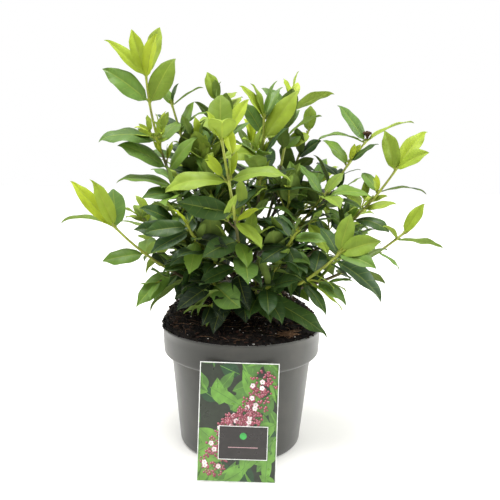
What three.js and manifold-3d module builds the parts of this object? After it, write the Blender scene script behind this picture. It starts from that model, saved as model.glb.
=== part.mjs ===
// A young laurustinus with evergreen leaves, in a grey nursery pot with a picture card in front.
// Millimetres, z up. The origin is the middle of the pot's flat underside, the card is on the -y side.
import * as THREE from 'three';
import Module from 'manifold-3d';

const wasm = await Module();
wasm.setup();
const { Manifold, Mesh } = wasm;

// Clear distance between two nodes.
const GAP = 0.3;
// Slivers thinner than this are closed when bodies are fused.
const FUSE_TOLERANCE = 0.08;

// Nursery pot, 19 cm across the rim.
const POT_HEIGHT = 143;
const POT_RIM_RADIUS = 95;
const POT_COLLAR_HEIGHT = 30;
const POT_COLLAR_RADIUS = 93;
const POT_STEP_HEIGHT = 8;
const POT_BODY_RADIUS = 83.5;
const POT_FOOT_RADIUS = 73;
const POT_FOOT_ROUND = 5;
const POT_WALL = 2;
const POT_FLOOR = 3;
const POT_SEGMENTS = 36;

// Root ball: it fills the pot and domes above the rim, more at the back and left than in front.
const SOIL_FOOT = 160;
const SOIL_FOOT_RADIUS = 13;
const SOIL_GAP = 0.5;
const SOIL_RINGS = [90.4, 86, 76, 60, 38, SOIL_FOOT_RADIUS];

// Picture card that leans on the collar.
const CARD_WIDTH = 83;
const CARD_HEIGHT = 125.5;
const CARD_THICKNESS = 0.6;
const CARD_LEAN = 7;
const CARD_TURN = 0.9;
const CARD_FOOT_Y = -109.75;

// Short trunk inside the foliage, with knuckles where the boughs leave it.
const TRUNK_FOOT = SOIL_FOOT + GAP;
const TRUNK_TOP = [3, -2, 202];
const TRUNK_RADII = [10.5, 7.6, 6.6, 6.2, 5.8, 5.2, 4];
const TRUNK_KNUCKLE = 17;

// Stems: radii at the knuckle, where foliage begins and at the tip.
const BOUGH_KNUCKLE = 12;
const BOUGH_RADIUS = 3.1;
const BRANCH_RADIUS = 2.6;
const STEM_RADIUS = 2.2;
const STEM_TIP_RADIUS = 1.3;
const TWIG_RADIUS = 1.2;
const TWIG_TIP_RADIUS = 0.8;

// Leaf blade in shares of its length.
const LEAF_WIDTH = 0.44;
const LEAF_THICKNESS = 0.016;
const LEAF_LOW_SHARE = 0.3;
const LEAF_HIGH_SHARE = 0.66;
const LEAF_HIGH_NARROWING = 0.92;
const LEAF_CREST_SHARE = 0.45;
const LEAF_ROOT_DEPTH = 1;
const LEAF_FOLD = 14;
const PROBE_SHARE = 0.2;
// A leaf that would touch a neighbour is tried once more, shorter.
const LEAF_TRIES = [1, 0.78];

// The growth rule: opposite pairs, each turned a quarter round the stem from the last.
const PAIR_TURN = 90;
const PAIR_GAP = 27;
const YOUNG_SPLAY = 20;
const OLD_SPLAY = 74;
const SPLAY_PER_MM = 0.5;
const SIDE_TWIG_CHANCE = 0.12;
const SIDE_TWIG_ANGLE = 36;

const UP = new THREE.Vector3(0, 0, 1);
const TO_VIEWER = new THREE.Vector3(0, -1, 0);

// A leaf of measured place: how far below the tip it grows, where it points, its length and form.
function leaf(below, heading, lift, length, arch = 15, turn = 20, width = LEAF_WIDTH) {
  return { below, heading, lift, length, arch, turn, width };
}

// A side twig of measured place.
function twig(below, heading, lift, length) {
  return { below, heading, lift, length };
}

// Shoots in the order they claim their space. The tip is in mm from the origin.
// sweep and rise say where the stem bends, bow pushes that bend to one side,
// leafy is the length of stem below the tip that belongs to the mass of leaves,
// pairs_from is where opposite pairs by the rule begin below the tip.
const SHOOTS = [
  {
    name: 'left_tall', from: 'trunk', out: 26, tip: [-114, 0, 430], sweep: 0.9, rise: 0.45, leafy: 190,
    pairs_from: 146, roll: 80, size: 58,
    leaves: [
      leaf(1, -165, 45, 58, -10, 62, 0.28), leaf(1, -140, 68, 52, 10, 112, 0.28),
      leaf(3, 55, 73, 65, -10, 10, 0.3), leaf(4, -60, 60, 52, 10, 110, 0.34),
      leaf(30, -157, 33, 62, 20, 60), leaf(32, -15, 61, 59, 10, 90, 0.47),
      leaf(76, -160, 1, 69, 50, 30), leaf(79, 60, 40, 50, 25, 0), leaf(108, -155, 27, 63, 25, 40),
      leaf(111, -25, 49, 54, 15, 65, 0.44), leaf(133, -160, 9, 70, 40, 25, 0.36),
      leaf(140, -140, -5, 48, 45, 40),
    ],
    twigs: [twig(79, -120, 40, 22), twig(82, -75, 45, 26)],
  },
  {
    name: 'front_bright', from: 'trunk', out: 27, tip: [-22, -90, 354], sweep: 0.95, rise: 0.3, bow: 22,
    leafy: 140, pairs_from: 124, roll: 0, size: 54,
    leaves: [
      leaf(2, -87, 24, 44, 66, 0, 0.66), leaf(1, 113, 74, 50, 10, 10, 0.52),
      leaf(4, 10, 61, 52, 5, 30, 0.34), leaf(3, -165, 62, 34, 10, 40, 0.4),
      leaf(44, -171, -9, 67, 58, 35, 0.34), leaf(42, -16, 8, 66, 40, 35, 0.36),
      leaf(76, -160, 8, 60, 15, 60, 0.38), leaf(74, 60, 30, 50, 20, 0),
      leaf(86, -38, -32, 42, 25, 10, 0.5), leaf(84, -32, 26, 30, 10, 40, 0.36),
      leaf(110, -140, -13, 48, 25, 45, 0.46), leaf(111, -65, -38, 36, 25, 0, 0.5),
    ],
    twigs: [],
  },
  {
    name: 'centre_tall', from: 'trunk', out: 41, tip: [21, -30, 383], sweep: 0.9, rise: 0.4, leafy: 146,
    pairs_from: 62, roll: 80, size: 50,
    leaves: [
      leaf(1, 180, 72, 40, 5, 30, 0.32), leaf(2, -158, 52, 44, 10, 45, 0.36),
      leaf(2, -30, 76, 42, 0, 50, 0.3), leaf(3, 50, 58, 48, -10, 10, 0.3),
      leaf(20, 170, 58, 44, 20, 60, 0.36), leaf(24, -12, 53, 65, 10, 75, 0.36),
      leaf(44, -150, 1, 50, 45, 40, 0.42), leaf(46, -38, 48, 47, 15, 40, 0.38),
      leaf(84, -8, 4, 76, 30, 12, 0.34), leaf(82, -134, 17, 45, 20, 20),
    ],
    twigs: [],
  },
  {
    name: 'right_bright', from: 'trunk', out: 24, tip: [178, 0, 331], sweep: 0.66, rise: 0.34,
    leafy: 134, pairs_from: 96, roll: 10, size: 48,
    leaves: [
      leaf(5, 180, 77, 49, 5, 80, 0.4), leaf(3, 100, 55, 42, 5, 20, 0.36),
      leaf(6, 22, 54, 66, 5, 45, 0.26), leaf(2, -47, 27, 44, 15, 50, 0.48),
      leaf(35, -5, 3, 56, 42, -12, 0.26), leaf(36, 120, 40, 40, 15, 10),
      leaf(44, -155, 6, 60, 40, 20, 0.34), leaf(61, -25, 15, 38, 10, 40, 0.32),
      leaf(62, -150, 19, 40, 20, 35), leaf(79, -37, -12, 47, 50, 20, 0.36),
    ],
    twigs: [],
  },
  {
    name: 'left_low', from: 'trunk', out: 12, tip: [-141, -50, 262], sweep: 0.62, rise: 0.3, leafy: 112,
    pairs_from: 102, roll: 0, size: 52,
    leaves: [
      leaf(3, -167, 46, 68, 0, 70, 0.2), leaf(2, -129, 64, 58, 5, 105, 0.24),
      leaf(4, 110, 70, 47, 10, 18, 0.52), leaf(3, -175, 8, 59, 45, -15, 0.26),
      leaf(46, -155, -7, 47, 15, 45, 0.36), leaf(49, -35, 34, 36, 10, -30),
      leaf(47, 95, 20, 44, 25, 10), leaf(80, -136, -40, 57, 15, 35, 0.34),
      leaf(81, -129, -52, 40, 10, 10, 0.3), leaf(78, 120, 20, 46, 25, 10),
    ],
    twigs: [],
  },
  {
    name: 'right_front', from: 'trunk', out: 13, tip: [103, -80, 242], sweep: 0.55, rise: 0.12,
    leafy: 70, pairs_from: 200, roll: 0, size: 50,
    leaves: [
      leaf(3, 30, 74, 44, 5, 60, 0.4), leaf(3, -28, 23, 46, 15, 60, 0.48),
      leaf(4, -42, -8, 46, 20, 35, 0.4), leaf(5, 120, 45, 40, 15, 10, 0.44),
      leaf(13, -20, -35, 68, 34, 30, 0.34), leaf(19, -32, -30, 30, 15, 0, 0.26),
      leaf(41, -50, -18, 31, 10, -20, 0.4), leaf(42, 70, 35, 42, 20, 10),
      leaf(60, -50, -34, 48, 25, 20, 0.22), leaf(54, -18, -34, 52, 20, 0, 0.24),
      leaf(60, 100, 40, 44, 20, 10),
    ],
    twigs: [],
  },
  {
    name: 'right_fruit', from: 'right_bright', out: 50, tip: [150, 40, 365], sweep: 0.5, rise: 0.6,
    leafy: 140, pairs_from: 84, roll: 30, size: 46,
    leaves: [
      leaf(3, 180, 50, 57, 15, 50, 0.4), leaf(5, 180, 6, 60, 48, 5, 0.28),
      leaf(4, 0, 26, 64, 30, 10, 0.3), leaf(38, -163, 44, 44, 10, 65, 0.4),
      leaf(35, -29, 36, 40, 15, 40, 0.42), leaf(57, -43, 19, 29, 15, 15, 0.34),
      leaf(59, 130, 30, 40, 20, 10),
    ],
    twigs: [],
  },
  {
    name: 'right_low', from: 'right_front', out: 62, tip: [182, -30, 258], sweep: 0.5, rise: 0.16,
    leafy: 112, pairs_from: 64, roll: 80, size: 44,
    leaves: [
      leaf(1, -16, 59, 40, 5, 60, 0.36), leaf(12, -5, -6, 53, 10, -20, 0.18),
      leaf(11, -142, 36, 30, 30, 0, 0.26), leaf(37, -34, -29, 32, 35, 0, 0.3),
      leaf(38, 150, 40, 38, 15, 10),
    ],
    twigs: [],
  },
  {
    name: 'back_right', from: 'trunk', out: 34, tip: [55, 20, 414], sweep: 0.75, rise: 0.4, leafy: 146,
    pairs_from: 42, roll: 70, size: 50,
    leaves: [
      leaf(1, -47, 76, 29, 5, 40, 0.3), leaf(4, 58, 53, 28, 5, 30, 0.36),
      leaf(5, 130, 63, 30, 5, 0, 0.26), leaf(20, -6, 26, 56, 25, -25, 0.28),
      leaf(22, 170, 45, 46, 20, 30),
    ],
    twigs: [],
  },
  {
    name: 'back_left', from: 'trunk', out: 30, tip: [-37, 60, 416], sweep: 0.75, rise: 0.42, leafy: 158,
    pairs_from: 40, roll: 20, size: 52,
    leaves: [
      leaf(6, 180, 72, 39, 10, 70, 0.48), leaf(7, -64, 77, 26, 0, 50, 0.34),
      leaf(4, -96, 60, 28, 5, 0, 0.4), leaf(14, 25, 41, 36, 15, 20),
    ],
    twigs: [],
  },
  {
    name: 'left_second', from: 'left_tall', out: 62, tip: [-89, 30, 403], sweep: 0.8, rise: 0.42,
    bow: -34, leafy: 156, pairs_from: 66, roll: 100, size: 52,
    leaves: [
      leaf(1, -37, 70, 26, 5, 60), leaf(2, 24, 37, 46, 5, -5, 0.26), leaf(3, 160, 55, 36, 10, 30),
      leaf(38, -23, 69, 43, 10, 60, 0.42), leaf(33, 10, 35, 44, 50, 10, 0.36),
      leaf(40, 150, 40, 48, 20, 10),
    ],
    twigs: [],
  },
  {
    name: 'back_bud', from: 'back_right', out: 56, tip: [80, 60, 378], sweep: 0.7, rise: 0.42, bow: 14,
    leafy: 128, pairs_from: 62, roll: 30, size: 50,
    leaves: [
      leaf(3, 0, 84, 33, 5, 80, 0.52), leaf(4, -136, -30, 40, 25, 30, 0.5),
      leaf(34, -105, 65, 37, 10, 40, 0.5), leaf(38, -38, 35, 38, 15, 50, 0.5),
    ],
    twigs: [],
  },
  {
    name: 'right_inner', from: 'right_bright', out: 30, tip: [96, -10, 302], sweep: 0.5, rise: 0.62,
    bow: -12, leafy: 90, pairs_from: 68, roll: 80, size: 46,
    leaves: [
      leaf(7, -171, 49, 48, 15, 45, 0.44), leaf(4, 20, 50, 34, 10, 20),
      leaf(40, -34, 30, 45, 15, 25, 0.38), leaf(8, -70, -10, 44, 25, 0, 0.5),
      leaf(48, -135, 28, 48, 20, 45, 0.44), leaf(26, -22, 30, 30, 20, 10),
    ],
    twigs: [],
  },
  {
    name: 'left_mid', from: 'left_low', out: 34, tip: [-76, -35, 266], sweep: 0.4, rise: 0.6, leafy: 66,
    pairs_from: 38, roll: 40, size: 50,
    leaves: [
      leaf(1, -120, 56, 31, 10, 30, 0.44), leaf(4, -42, 57, 28, 5, 30, 0.28),
      leaf(6, -147, 28, 50, 20, 45, 0.42), leaf(13, -156, 1, 54, 15, 50, 0.42),
      leaf(15, 30, 25, 44, 20, 20),
    ],
    twigs: [],
  },
  {
    name: 'back_small', from: 'trunk', out: 38, tip: [-56, 20, 360], sweep: 0.72, rise: 0.45, bow: 5,
    leafy: 0, pairs_from: 28, roll: 0, size: 50,
    leaves: [leaf(2, -112, 80, 30, 5, 120, 0.38), leaf(3, -39, 71, 27, 5, 40, 0.4)],
    twigs: [],
  },
  {
    name: 'rear_tall', from: 'back_left', out: 44, tip: [8, 105, 368], sweep: 0.78, rise: 0.42,
    leafy: 134, pairs_from: 3, roll: 35, size: 56,
    leaves: [],
    twigs: [],
  },
  {
    name: 'rear_left', from: 'back_left', out: 28, tip: [-92, 102, 322], sweep: 0.72, rise: 0.4,
    leafy: 140, pairs_from: 3, roll: 15, size: 56,
    leaves: [],
    twigs: [],
  },
  {
    name: 'rear_right', from: 'back_right', out: 30, tip: [104, 112, 316], sweep: 0.7, rise: 0.4,
    leafy: 140, pairs_from: 3, roll: 60, size: 56,
    leaves: [],
    twigs: [],
  },
  {
    name: 'left_rear', from: 'left_tall', out: 34, tip: [-132, 62, 262], sweep: 0.66, rise: 0.34,
    leafy: 108, pairs_from: 3, roll: 75, size: 54,
    leaves: [],
    twigs: [],
  },
  {
    name: 'right_rear', from: 'right_bright', out: 68, tip: [142, 72, 268], sweep: 0.66, rise: 0.34,
    bow: 10, leafy: 96, pairs_from: 3, roll: 20, size: 54,
    leaves: [],
    twigs: [],
  },
  {
    name: 'rear_low_left', from: 'trunk', out: 12, tip: [-58, 152, 236], sweep: 0.6, rise: 0.3,
    leafy: 0, pairs_from: 3, roll: 40, size: 54,
    leaves: [],
    twigs: [],
  },
  {
    name: 'rear_low_right', from: 'trunk', out: 11, tip: [52, 158, 240], sweep: 0.6, rise: 0.3,
    leafy: 0, pairs_from: 3, roll: 85, size: 54,
    leaves: [],
    twigs: [],
  },
  {
    name: 'front_right_mid', from: 'right_front', out: 34, tip: [58, -72, 262], sweep: 0.4, rise: 0.6,
    leafy: 70, pairs_from: 46, roll: 30, size: 50,
    leaves: [
      leaf(2, -32, 40, 30, 10, 20, 0.36), leaf(2, -153, 42, 30, 10, 30, 0.36),
      leaf(12, -31, 1, 40, 20, 35, 0.4), leaf(24, -140, -22, 42, 20, 40, 0.46),
      leaf(25, -62, -44, 40, 15, 30, 0.44), leaf(36, -45, -9, 40, 20, 30, 0.44),
      leaf(60, -112, -48, 40, 15, 30, 0.4), leaf(14, 140, 30, 44, 20, 10),
    ],
    twigs: [],
  },
  {
    name: 'front_left_mid', from: 'front_bright', out: 30, tip: [-58, -74, 268], sweep: 0.7, rise: 0.4,
    bow: -8, leafy: 74, pairs_from: 46, roll: 70, size: 50,
    leaves: [
      leaf(2, -157, 50, 24, 10, 30, 0.36), leaf(2, -33, 50, 26, 10, 30, 0.36),
      leaf(4, -162, -8, 46, 20, 45, 0.42), leaf(9, -154, -28, 48, 20, 40, 0.4),
      leaf(20, -35, -8, 42, 20, 30, 0.44), leaf(24, -100, -51, 40, 15, 25, 0.46),
      leaf(35, -139, -18, 44, 20, 40, 0.42), leaf(14, 110, 30, 44, 20, 10),
    ],
    twigs: [],
  },
  {
    name: 'inner_left', from: 'trunk', out: 34, tip: [-42, -12, 316], sweep: 0.75, rise: 0.45, bow: 16,
    leafy: 0, pairs_from: 4, roll: 20, size: 50,
    leaves: [],
    twigs: [],
  },
  {
    name: 'inner_right', from: 'trunk', out: 32, tip: [58, -16, 312], sweep: 0.75, rise: 0.45, leafy: 0,
    pairs_from: 4, roll: 65, size: 46,
    leaves: [leaf(71, -54, -13, 53, 20, 35, 0.42)],
    twigs: [],
  },
  {
    name: 'front_left_low', from: 'trunk', out: 10, tip: [-32, -62, 204], sweep: 0.6, rise: 0.4,
    leafy: 0, pairs_from: 300, roll: 0, size: 46,
    leaves: [
      leaf(2, -146, -32, 50, 15, 35, 0.38), leaf(20, -150, -30, 44, 15, -40, 0.44),
      leaf(3, -133, 14, 34, 15, 20), leaf(5, -42, -30, 42, 12, 40, 0.74),
      leaf(24, -85, -32, 44, 15, 10, 0.44), leaf(4, 150, 30, 40, 20, 10), leaf(22, 170, 0, 44, 20, 10),
      leaf(26, -40, 40, 44, 20, 20),
    ],
    twigs: [],
  },
  {
    name: 'front_right_low', from: 'trunk', out: 11, tip: [29, -62, 200], sweep: 0.6, rise: 0.4,
    leafy: 0, pairs_from: 300, roll: 0, size: 46,
    leaves: [
      leaf(4, -114, 61, 46, 10, 40, 0.4), leaf(3, -30, 20, 42, 15, 35),
      leaf(5, -88, -28, 42, 20, 0, 0.48), leaf(22, -112, -24, 44, 15, 10),
      leaf(26, -14, -25, 90, 12, 48, 0.2), leaf(24, -70, -38, 40, 15, 15, 0.46),
      leaf(18, -50, -33, 46, 15, 30, 0.5), leaf(30, 10, 34, 44, 20, 10),
    ],
    twigs: [],
  },
  {
    name: 'left_foot', from: 'trunk', out: 13, tip: [-66, 8, 212], sweep: 0.7, rise: 0.3, leafy: 0,
    pairs_from: 14, roll: 15, size: 46,
    leaves: [
      leaf(1, -150, 20, 36, 15, 35, 0.4), leaf(2, -143, -36, 40, 15, 30, 0.42),
      leaf(4, -109, -44, 46, 15, 30, 0.42), leaf(3, 130, 20, 44, 20, 10),
    ],
    twigs: [],
  },
  {
    name: 'front_foot', from: 'trunk', out: 22, tip: [-6, -66, 226], sweep: 0.7, rise: 0.4, leafy: 0,
    pairs_from: 48, roll: 10, size: 44,
    leaves: [
      leaf(2, -157, 35, 30, 10, 30, 0.46), leaf(2, -30, 44, 32, 10, 30, 0.46),
      leaf(6, -158, -22, 46, 20, 30, 0.42), leaf(12, -45, -12, 42, 20, 25, 0.46),
      leaf(16, -70, -51, 42, 15, 20, 0.48), leaf(26, -73, -43, 44, 15, 15, 0.44),
      leaf(41, -75, -38, 54, 15, 10, 0.5), leaf(35, -122, -34, 54, 15, 20, 0.46),
    ],
    twigs: [],
  },
  {
    name: 'left_front_foot', from: 'trunk', out: 21, tip: [-58, -42, 222], sweep: 0.7, rise: 0.4,
    leafy: 0, pairs_from: 34, roll: 55, size: 48,
    leaves: [
      leaf(1, -138, 42, 34, 10, 30, 0.44), leaf(1, -144, -8, 36, 15, 35, 0.44),
      leaf(3, -107, -62, 42, 10, 50, 0.36), leaf(12, -78, -37, 38, 15, 20, 0.44),
      leaf(24, -129, -27, 48, 15, 35, 0.42), leaf(12, -38, 18, 40, 15, 30, 0.46),
      leaf(5, 80, 30, 42, 20, 10),
    ],
    twigs: [],
  },
  {
    name: 'right_front_foot', from: 'trunk', out: 20, tip: [58, -34, 226], sweep: 0.7, rise: 0.4,
    leafy: 0, pairs_from: 36, roll: 25, size: 48,
    leaves: [
      leaf(1, -50, 45, 36, 10, 30, 0.4), leaf(1, -31, -23, 40, 15, 30, 0.42),
      leaf(4, -97, -47, 42, 10, 40, 0.36), leaf(12, -123, -36, 46, 10, 40, 0.38),
      leaf(24, -62, -25, 45, 15, 25, 0.44), leaf(6, 70, 30, 42, 20, 10),
    ],
    twigs: [],
  },
  {
    name: 'right_foot', from: 'trunk', out: 12, tip: [70, 12, 214], sweep: 0.7, rise: 0.3, bow: 8,
    leafy: 0, pairs_from: 18, roll: 50, size: 46,
    leaves: [
      leaf(1, -19, 8, 38, 15, 35, 0.42), leaf(1, -37, -28, 42, 15, 35, 0.4),
      leaf(7, -54, -38, 48, 15, 30, 0.36), leaf(11, -75, -36, 50, 15, 20, 0.4),
      leaf(4, 60, 25, 42, 20, 10),
    ],
    twigs: [],
  },
];

const vector = (values) => new THREE.Vector3(...values);
const radians = THREE.MathUtils.degToRad;

// Repeatable random numbers between 0 and 1.
function dice(seed) {
  let state = seed >>> 0;
  return () => {
    state = (Math.imul(state, 1664525) + 1013904223) >>> 0;
    return state / 4294967296;
  };
}

// Closed body from a geometry: equal corners become one and flat triangles are dropped.
function bodyOf(geometry) {
  const corner = new THREE.Vector3();
  const positions = geometry.getAttribute('position');
  const order = geometry.index ? Array.from(geometry.index.array) : [...Array(positions.count).keys()];
  const known = new Map();
  const coordinates = [];
  const corners = order.map((place) => {
    corner.fromBufferAttribute(positions, place);
    const key = corner.toArray().map((value) => Math.round(value * 1e4)).join();
    if (!known.has(key)) {
      known.set(key, coordinates.length / 3);
      coordinates.push(corner.x, corner.y, corner.z);
    }
    return known.get(key);
  });
  const triangles = [];
  for (let place = 0; place < corners.length; place += 3) {
    const [a, b, c] = corners.slice(place, place + 3);
    if (a !== b && b !== c && a !== c) triangles.push(a, b, c);
  }
  const mesh = new Mesh({
    numProp: 3,
    vertProperties: new Float32Array(coordinates),
    triVerts: new Uint32Array(triangles),
  });
  return Manifold.ofMesh(mesh);
}

// Fuses bodies into one: sealed hollows are filled and loose scraps dropped.
function fuse(bodies) {
  const whole = bodies.length > 1 ? Manifold.union(bodies) : bodies[0];
  const pieces = whole.asOriginal().simplify(FUSE_TOLERANCE).decompose();
  return pieces.reduce((best, piece) => (piece.volume() > best.volume() ? piece : best));
}

// Geometry for a node from a closed body.
function geometryOf(body) {
  const mesh = body.getMesh();
  const geometry = new THREE.BufferGeometry();
  const places = new Float32Array(mesh.numVert * 3);
  for (let i = 0; i < mesh.numVert; i += 1) {
    for (let axis = 0; axis < 3; axis += 1) {
      places[i * 3 + axis] = mesh.vertProperties[i * mesh.numProp + axis];
    }
  }
  geometry.setAttribute('position', new THREE.BufferAttribute(places, 3));
  geometry.setIndex(new THREE.BufferAttribute(new Uint32Array(mesh.triVerts), 1));
  return geometry;
}

// Turned body: a lathe profile in (radius, height), z up.
function turned(profile, segments) {
  const points = profile.map(([radius, height]) => new THREE.Vector2(radius, height));
  const geometry = new THREE.LatheGeometry(points, segments);
  geometry.rotateX(Math.PI / 2);
  return geometry;
}

// Tapering limb along a curve, from one distance to another, with a radius for each ring.
function limb(curve, from, to, radii, sides) {
  const rings = radii.length - 1;
  const geometry = new THREE.CylinderGeometry(1, 1, 1, sides, rings);
  const positions = geometry.getAttribute('position');
  const total = curve.getLength();
  const spot = new THREE.Vector3();
  for (let i = 0; i < positions.count; i += 1) {
    spot.fromBufferAttribute(positions, i);
    const ring = Math.round((spot.y + 0.5) * rings);
    const share = Math.min(1, Math.max(0, (from + ((to - from) * ring) / rings) / total));
    const along = curve.getTangentAt(share);
    const across = TO_VIEWER.clone().addScaledVector(along, -TO_VIEWER.dot(along)).normalize();
    const third = across.clone().cross(along);
    const centre = curve.getPointAt(share);
    centre.addScaledVector(across, spot.x * radii[ring]).addScaledVector(third, spot.z * radii[ring]);
    positions.setXYZ(i, centre.x, centre.y, centre.z);
  }
  return bodyOf(geometry);
}

// Pot wall, collar and floor as one turned shell.
function potBody() {
  const collar = POT_HEIGHT - POT_COLLAR_HEIGHT;
  const step = collar - POT_STEP_HEIGHT;
  const outer = [
    [0, 0],
    [POT_FOOT_RADIUS - POT_FOOT_ROUND, 0],
    [POT_FOOT_RADIUS - POT_FOOT_ROUND * 0.3, POT_FOOT_ROUND * 0.3],
    [POT_FOOT_RADIUS, POT_FOOT_ROUND],
    [POT_BODY_RADIUS, step],
    [POT_BODY_RADIUS + 1.5, step + 2.5],
    [POT_COLLAR_RADIUS - 1.2, collar - 1.2],
    [POT_COLLAR_RADIUS, collar],
    [POT_RIM_RADIUS, POT_HEIGHT - 1],
    [POT_RIM_RADIUS - 0.6, POT_HEIGHT],
  ];
  const inner = [
    [POT_RIM_RADIUS - POT_WALL + 0.4, POT_HEIGHT],
    [POT_RIM_RADIUS - POT_WALL, POT_HEIGHT - 1],
    ...potLining(POT_WALL),
    [0, POT_FLOOR],
  ];
  return bodyOf(turned([...outer, ...inner], POT_SEGMENTS));
}

// Inside of the pot from the collar down to the floor, a given distance in from the outer face.
function potLining(inset) {
  const collar = POT_HEIGHT - POT_COLLAR_HEIGHT;
  const step = collar - POT_STEP_HEIGHT;
  return [
    [POT_COLLAR_RADIUS - inset, collar + 0.5],
    [POT_BODY_RADIUS - inset, step + 0.4],
    [POT_FOOT_RADIUS - inset, POT_FOOT_ROUND + inset],
    [POT_FOOT_RADIUS - POT_FOOT_ROUND - inset, POT_FLOOR + inset - POT_WALL],
  ];
}

// Height of the root ball's surface at a distance and a heading from its middle.
function soilHeight(radius, heading) {
  const back = Math.min(1, Math.max(0, 0.62 + 0.75 * Math.sin(heading) - 0.16 * Math.cos(heading)));
  const shoulder = 141 + 14 * back;
  const plateau = 159 + 12 * back;
  const fall = (radius / 92) ** (2.5 + 8 * back);
  const lumps = Math.sin(heading * 5 + radius * 0.11) + Math.sin(heading * 3 - radius * 0.07 + 2);
  const height = plateau + (shoulder - plateau) * fall + lumps * 0.9;
  const outward = Math.min(1, Math.max(0, (radius - SOIL_FOOT_RADIUS) / 22));
  return SOIL_FOOT + (height - SOIL_FOOT) * outward;
}

// Root ball: the lining of the pot with a gap, closed by the domed surface.
function soilBody() {
  const lining = potLining(POT_WALL + SOIL_GAP).reverse();
  const wall = [[0, POT_FLOOR + SOIL_GAP], ...lining, [SOIL_RINGS[0] + 1.2, POT_HEIGHT - 5]];
  const surface = [...SOIL_RINGS.map((radius) => [radius, POT_HEIGHT]), [0, POT_HEIGHT]];
  const geometry = turned([...wall, ...surface], POT_SEGMENTS);
  const positions = geometry.getAttribute('position');
  for (let i = 0; i < positions.count; i += 1) {
    if (Math.abs(positions.getZ(i) - POT_HEIGHT) < 1e-3) {
      const [x, y] = [positions.getX(i), positions.getY(i)];
      positions.setZ(i, soilHeight(Math.hypot(x, y), Math.atan2(y, x)));
    }
  }
  return bodyOf(geometry);
}

// Thin card that stands on the floor and leans back on the collar.
function cardBody() {
  const geometry = new THREE.BoxGeometry(CARD_WIDTH, CARD_THICKNESS, CARD_HEIGHT);
  geometry.translate(0, 0, CARD_HEIGHT / 2);
  geometry.rotateY(radians(CARD_TURN));
  geometry.rotateX(radians(-CARD_LEAN));
  geometry.computeBoundingBox();
  geometry.translate(-2, CARD_FOOT_Y, -geometry.boundingBox.min.z);
  return bodyOf(geometry);
}

// Trunk from its flat cut at the soil, with root flare and the knuckles of the boughs that leave it.
function trunkBody(trunk, children) {
  const stump = limb(trunk.curve, 0, trunk.length, TRUNK_RADII, 9);
  return fuse([stump, ...children.map(knuckleBody)]);
}

// Short collar on the parent limb, from its middle to the flat face the child limb starts from.
function knuckleBody(stem) {
  return limb(stem.curve, 0, stem.knuckle, [stem.radius + 0.3, stem.radius], 5);
}

// The trunk's course: upright at the soil, then a slight lean.
function trunkStem() {
  const foot = new THREE.Vector3(0, 0, TRUNK_FOOT);
  const bend = new THREE.Vector3(0, 0, (TRUNK_FOOT + TRUNK_TOP[2]) / 2);
  const curve = new THREE.QuadraticBezierCurve3(foot, bend, vector(TRUNK_TOP));
  return { curve, length: curve.getLength() };
}

// Courses of all shoots. Each starts on the trunk or on a bough before it in the table.
function stemCourses(trunk) {
  const stems = new Map([['trunk', trunk]]);
  SHOOTS.forEach((shoot, order) => {
    const parent = stems.get(shoot.from);
    const start = parent.curve.getPointAt(shoot.out / parent.length);
    const end = vector(shoot.tip);
    const reach = end.clone().sub(start);
    const sideways = new THREE.Vector3(-reach.y, reach.x, 0).normalize();
    const bend = start.clone();
    bend.add(new THREE.Vector3(reach.x * shoot.sweep, reach.y * shoot.sweep, reach.z * shoot.rise));
    bend.addScaledVector(sideways, shoot.bow ?? 0);
    const curve = new THREE.QuadraticBezierCurve3(start, bend, end);
    const length = curve.getLength();
    const knuckle = shoot.from === 'trunk' ? TRUNK_KNUCKLE : BOUGH_KNUCKLE;
    const radius = shoot.from === 'trunk' ? BOUGH_RADIUS : BRANCH_RADIUS;
    const split = shoot.leafy > 0 ? length - shoot.leafy : knuckle;
    stems.set(shoot.name, { shoot, curve, length, knuckle, radius, split, draw: dice(7919 * (order + 1)) });
  });
  stems.delete('trunk');
  return [...stems.values()];
}

// Point and direction of a stem at a distance below its tip.
function spotBelow(stem, below) {
  const share = Math.min(1, Math.max(0, 1 - below / stem.length));
  return { point: stem.curve.getPointAt(share), along: stem.curve.getTangentAt(share) };
}

// Unit vector with a heading and a lift in degrees.
function pointing(heading, lift) {
  const [around, up] = [radians(heading), radians(lift)];
  return new THREE.Vector3(Math.cos(up) * Math.cos(around), Math.cos(up) * Math.sin(around), Math.sin(up));
}

// Upper side of a blade: it looks up, then is turned about the blade towards the viewer.
function upperSide(chord, turn) {
  const skyward = UP.clone().addScaledVector(chord, -UP.dot(chord)).normalize();
  const sideways = chord.clone().cross(skyward);
  if (sideways.dot(TO_VIEWER) < 0) sideways.negate();
  const angle = radians(turn);
  return skyward.multiplyScalar(Math.cos(angle)).addScaledVector(sideways, Math.sin(angle));
}

// Blade data in frame coordinates.
function blade(base, chord, length, arch, turn, width, below) {
  return { base, chord, length, arch, width, below, normal: upperSide(chord, turn) };
}

// Leaves of measured place on a stem.
function measuredLeaves(stem) {
  return stem.shoot.leaves.map((row) => {
    const { point } = spotBelow(stem, row.below);
    const chord = pointing(row.heading, row.lift);
    return blade(point, chord, row.length, row.arch, row.turn, row.width, row.below);
  });
}

// Direction across a stem, in the plane that faces the viewer, rolled about the stem.
function acrossStem(along, roll) {
  const flat = new THREE.Vector3(along.z, 0, -along.x).normalize();
  return flat.applyAxisAngle(along, radians(roll));
}

// Direction turned by an angle from one along a stem toward one across it.
function turnedToward(along, across, angle) {
  return along.clone().multiplyScalar(Math.cos(angle)).addScaledVector(across, Math.sin(angle));
}

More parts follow.
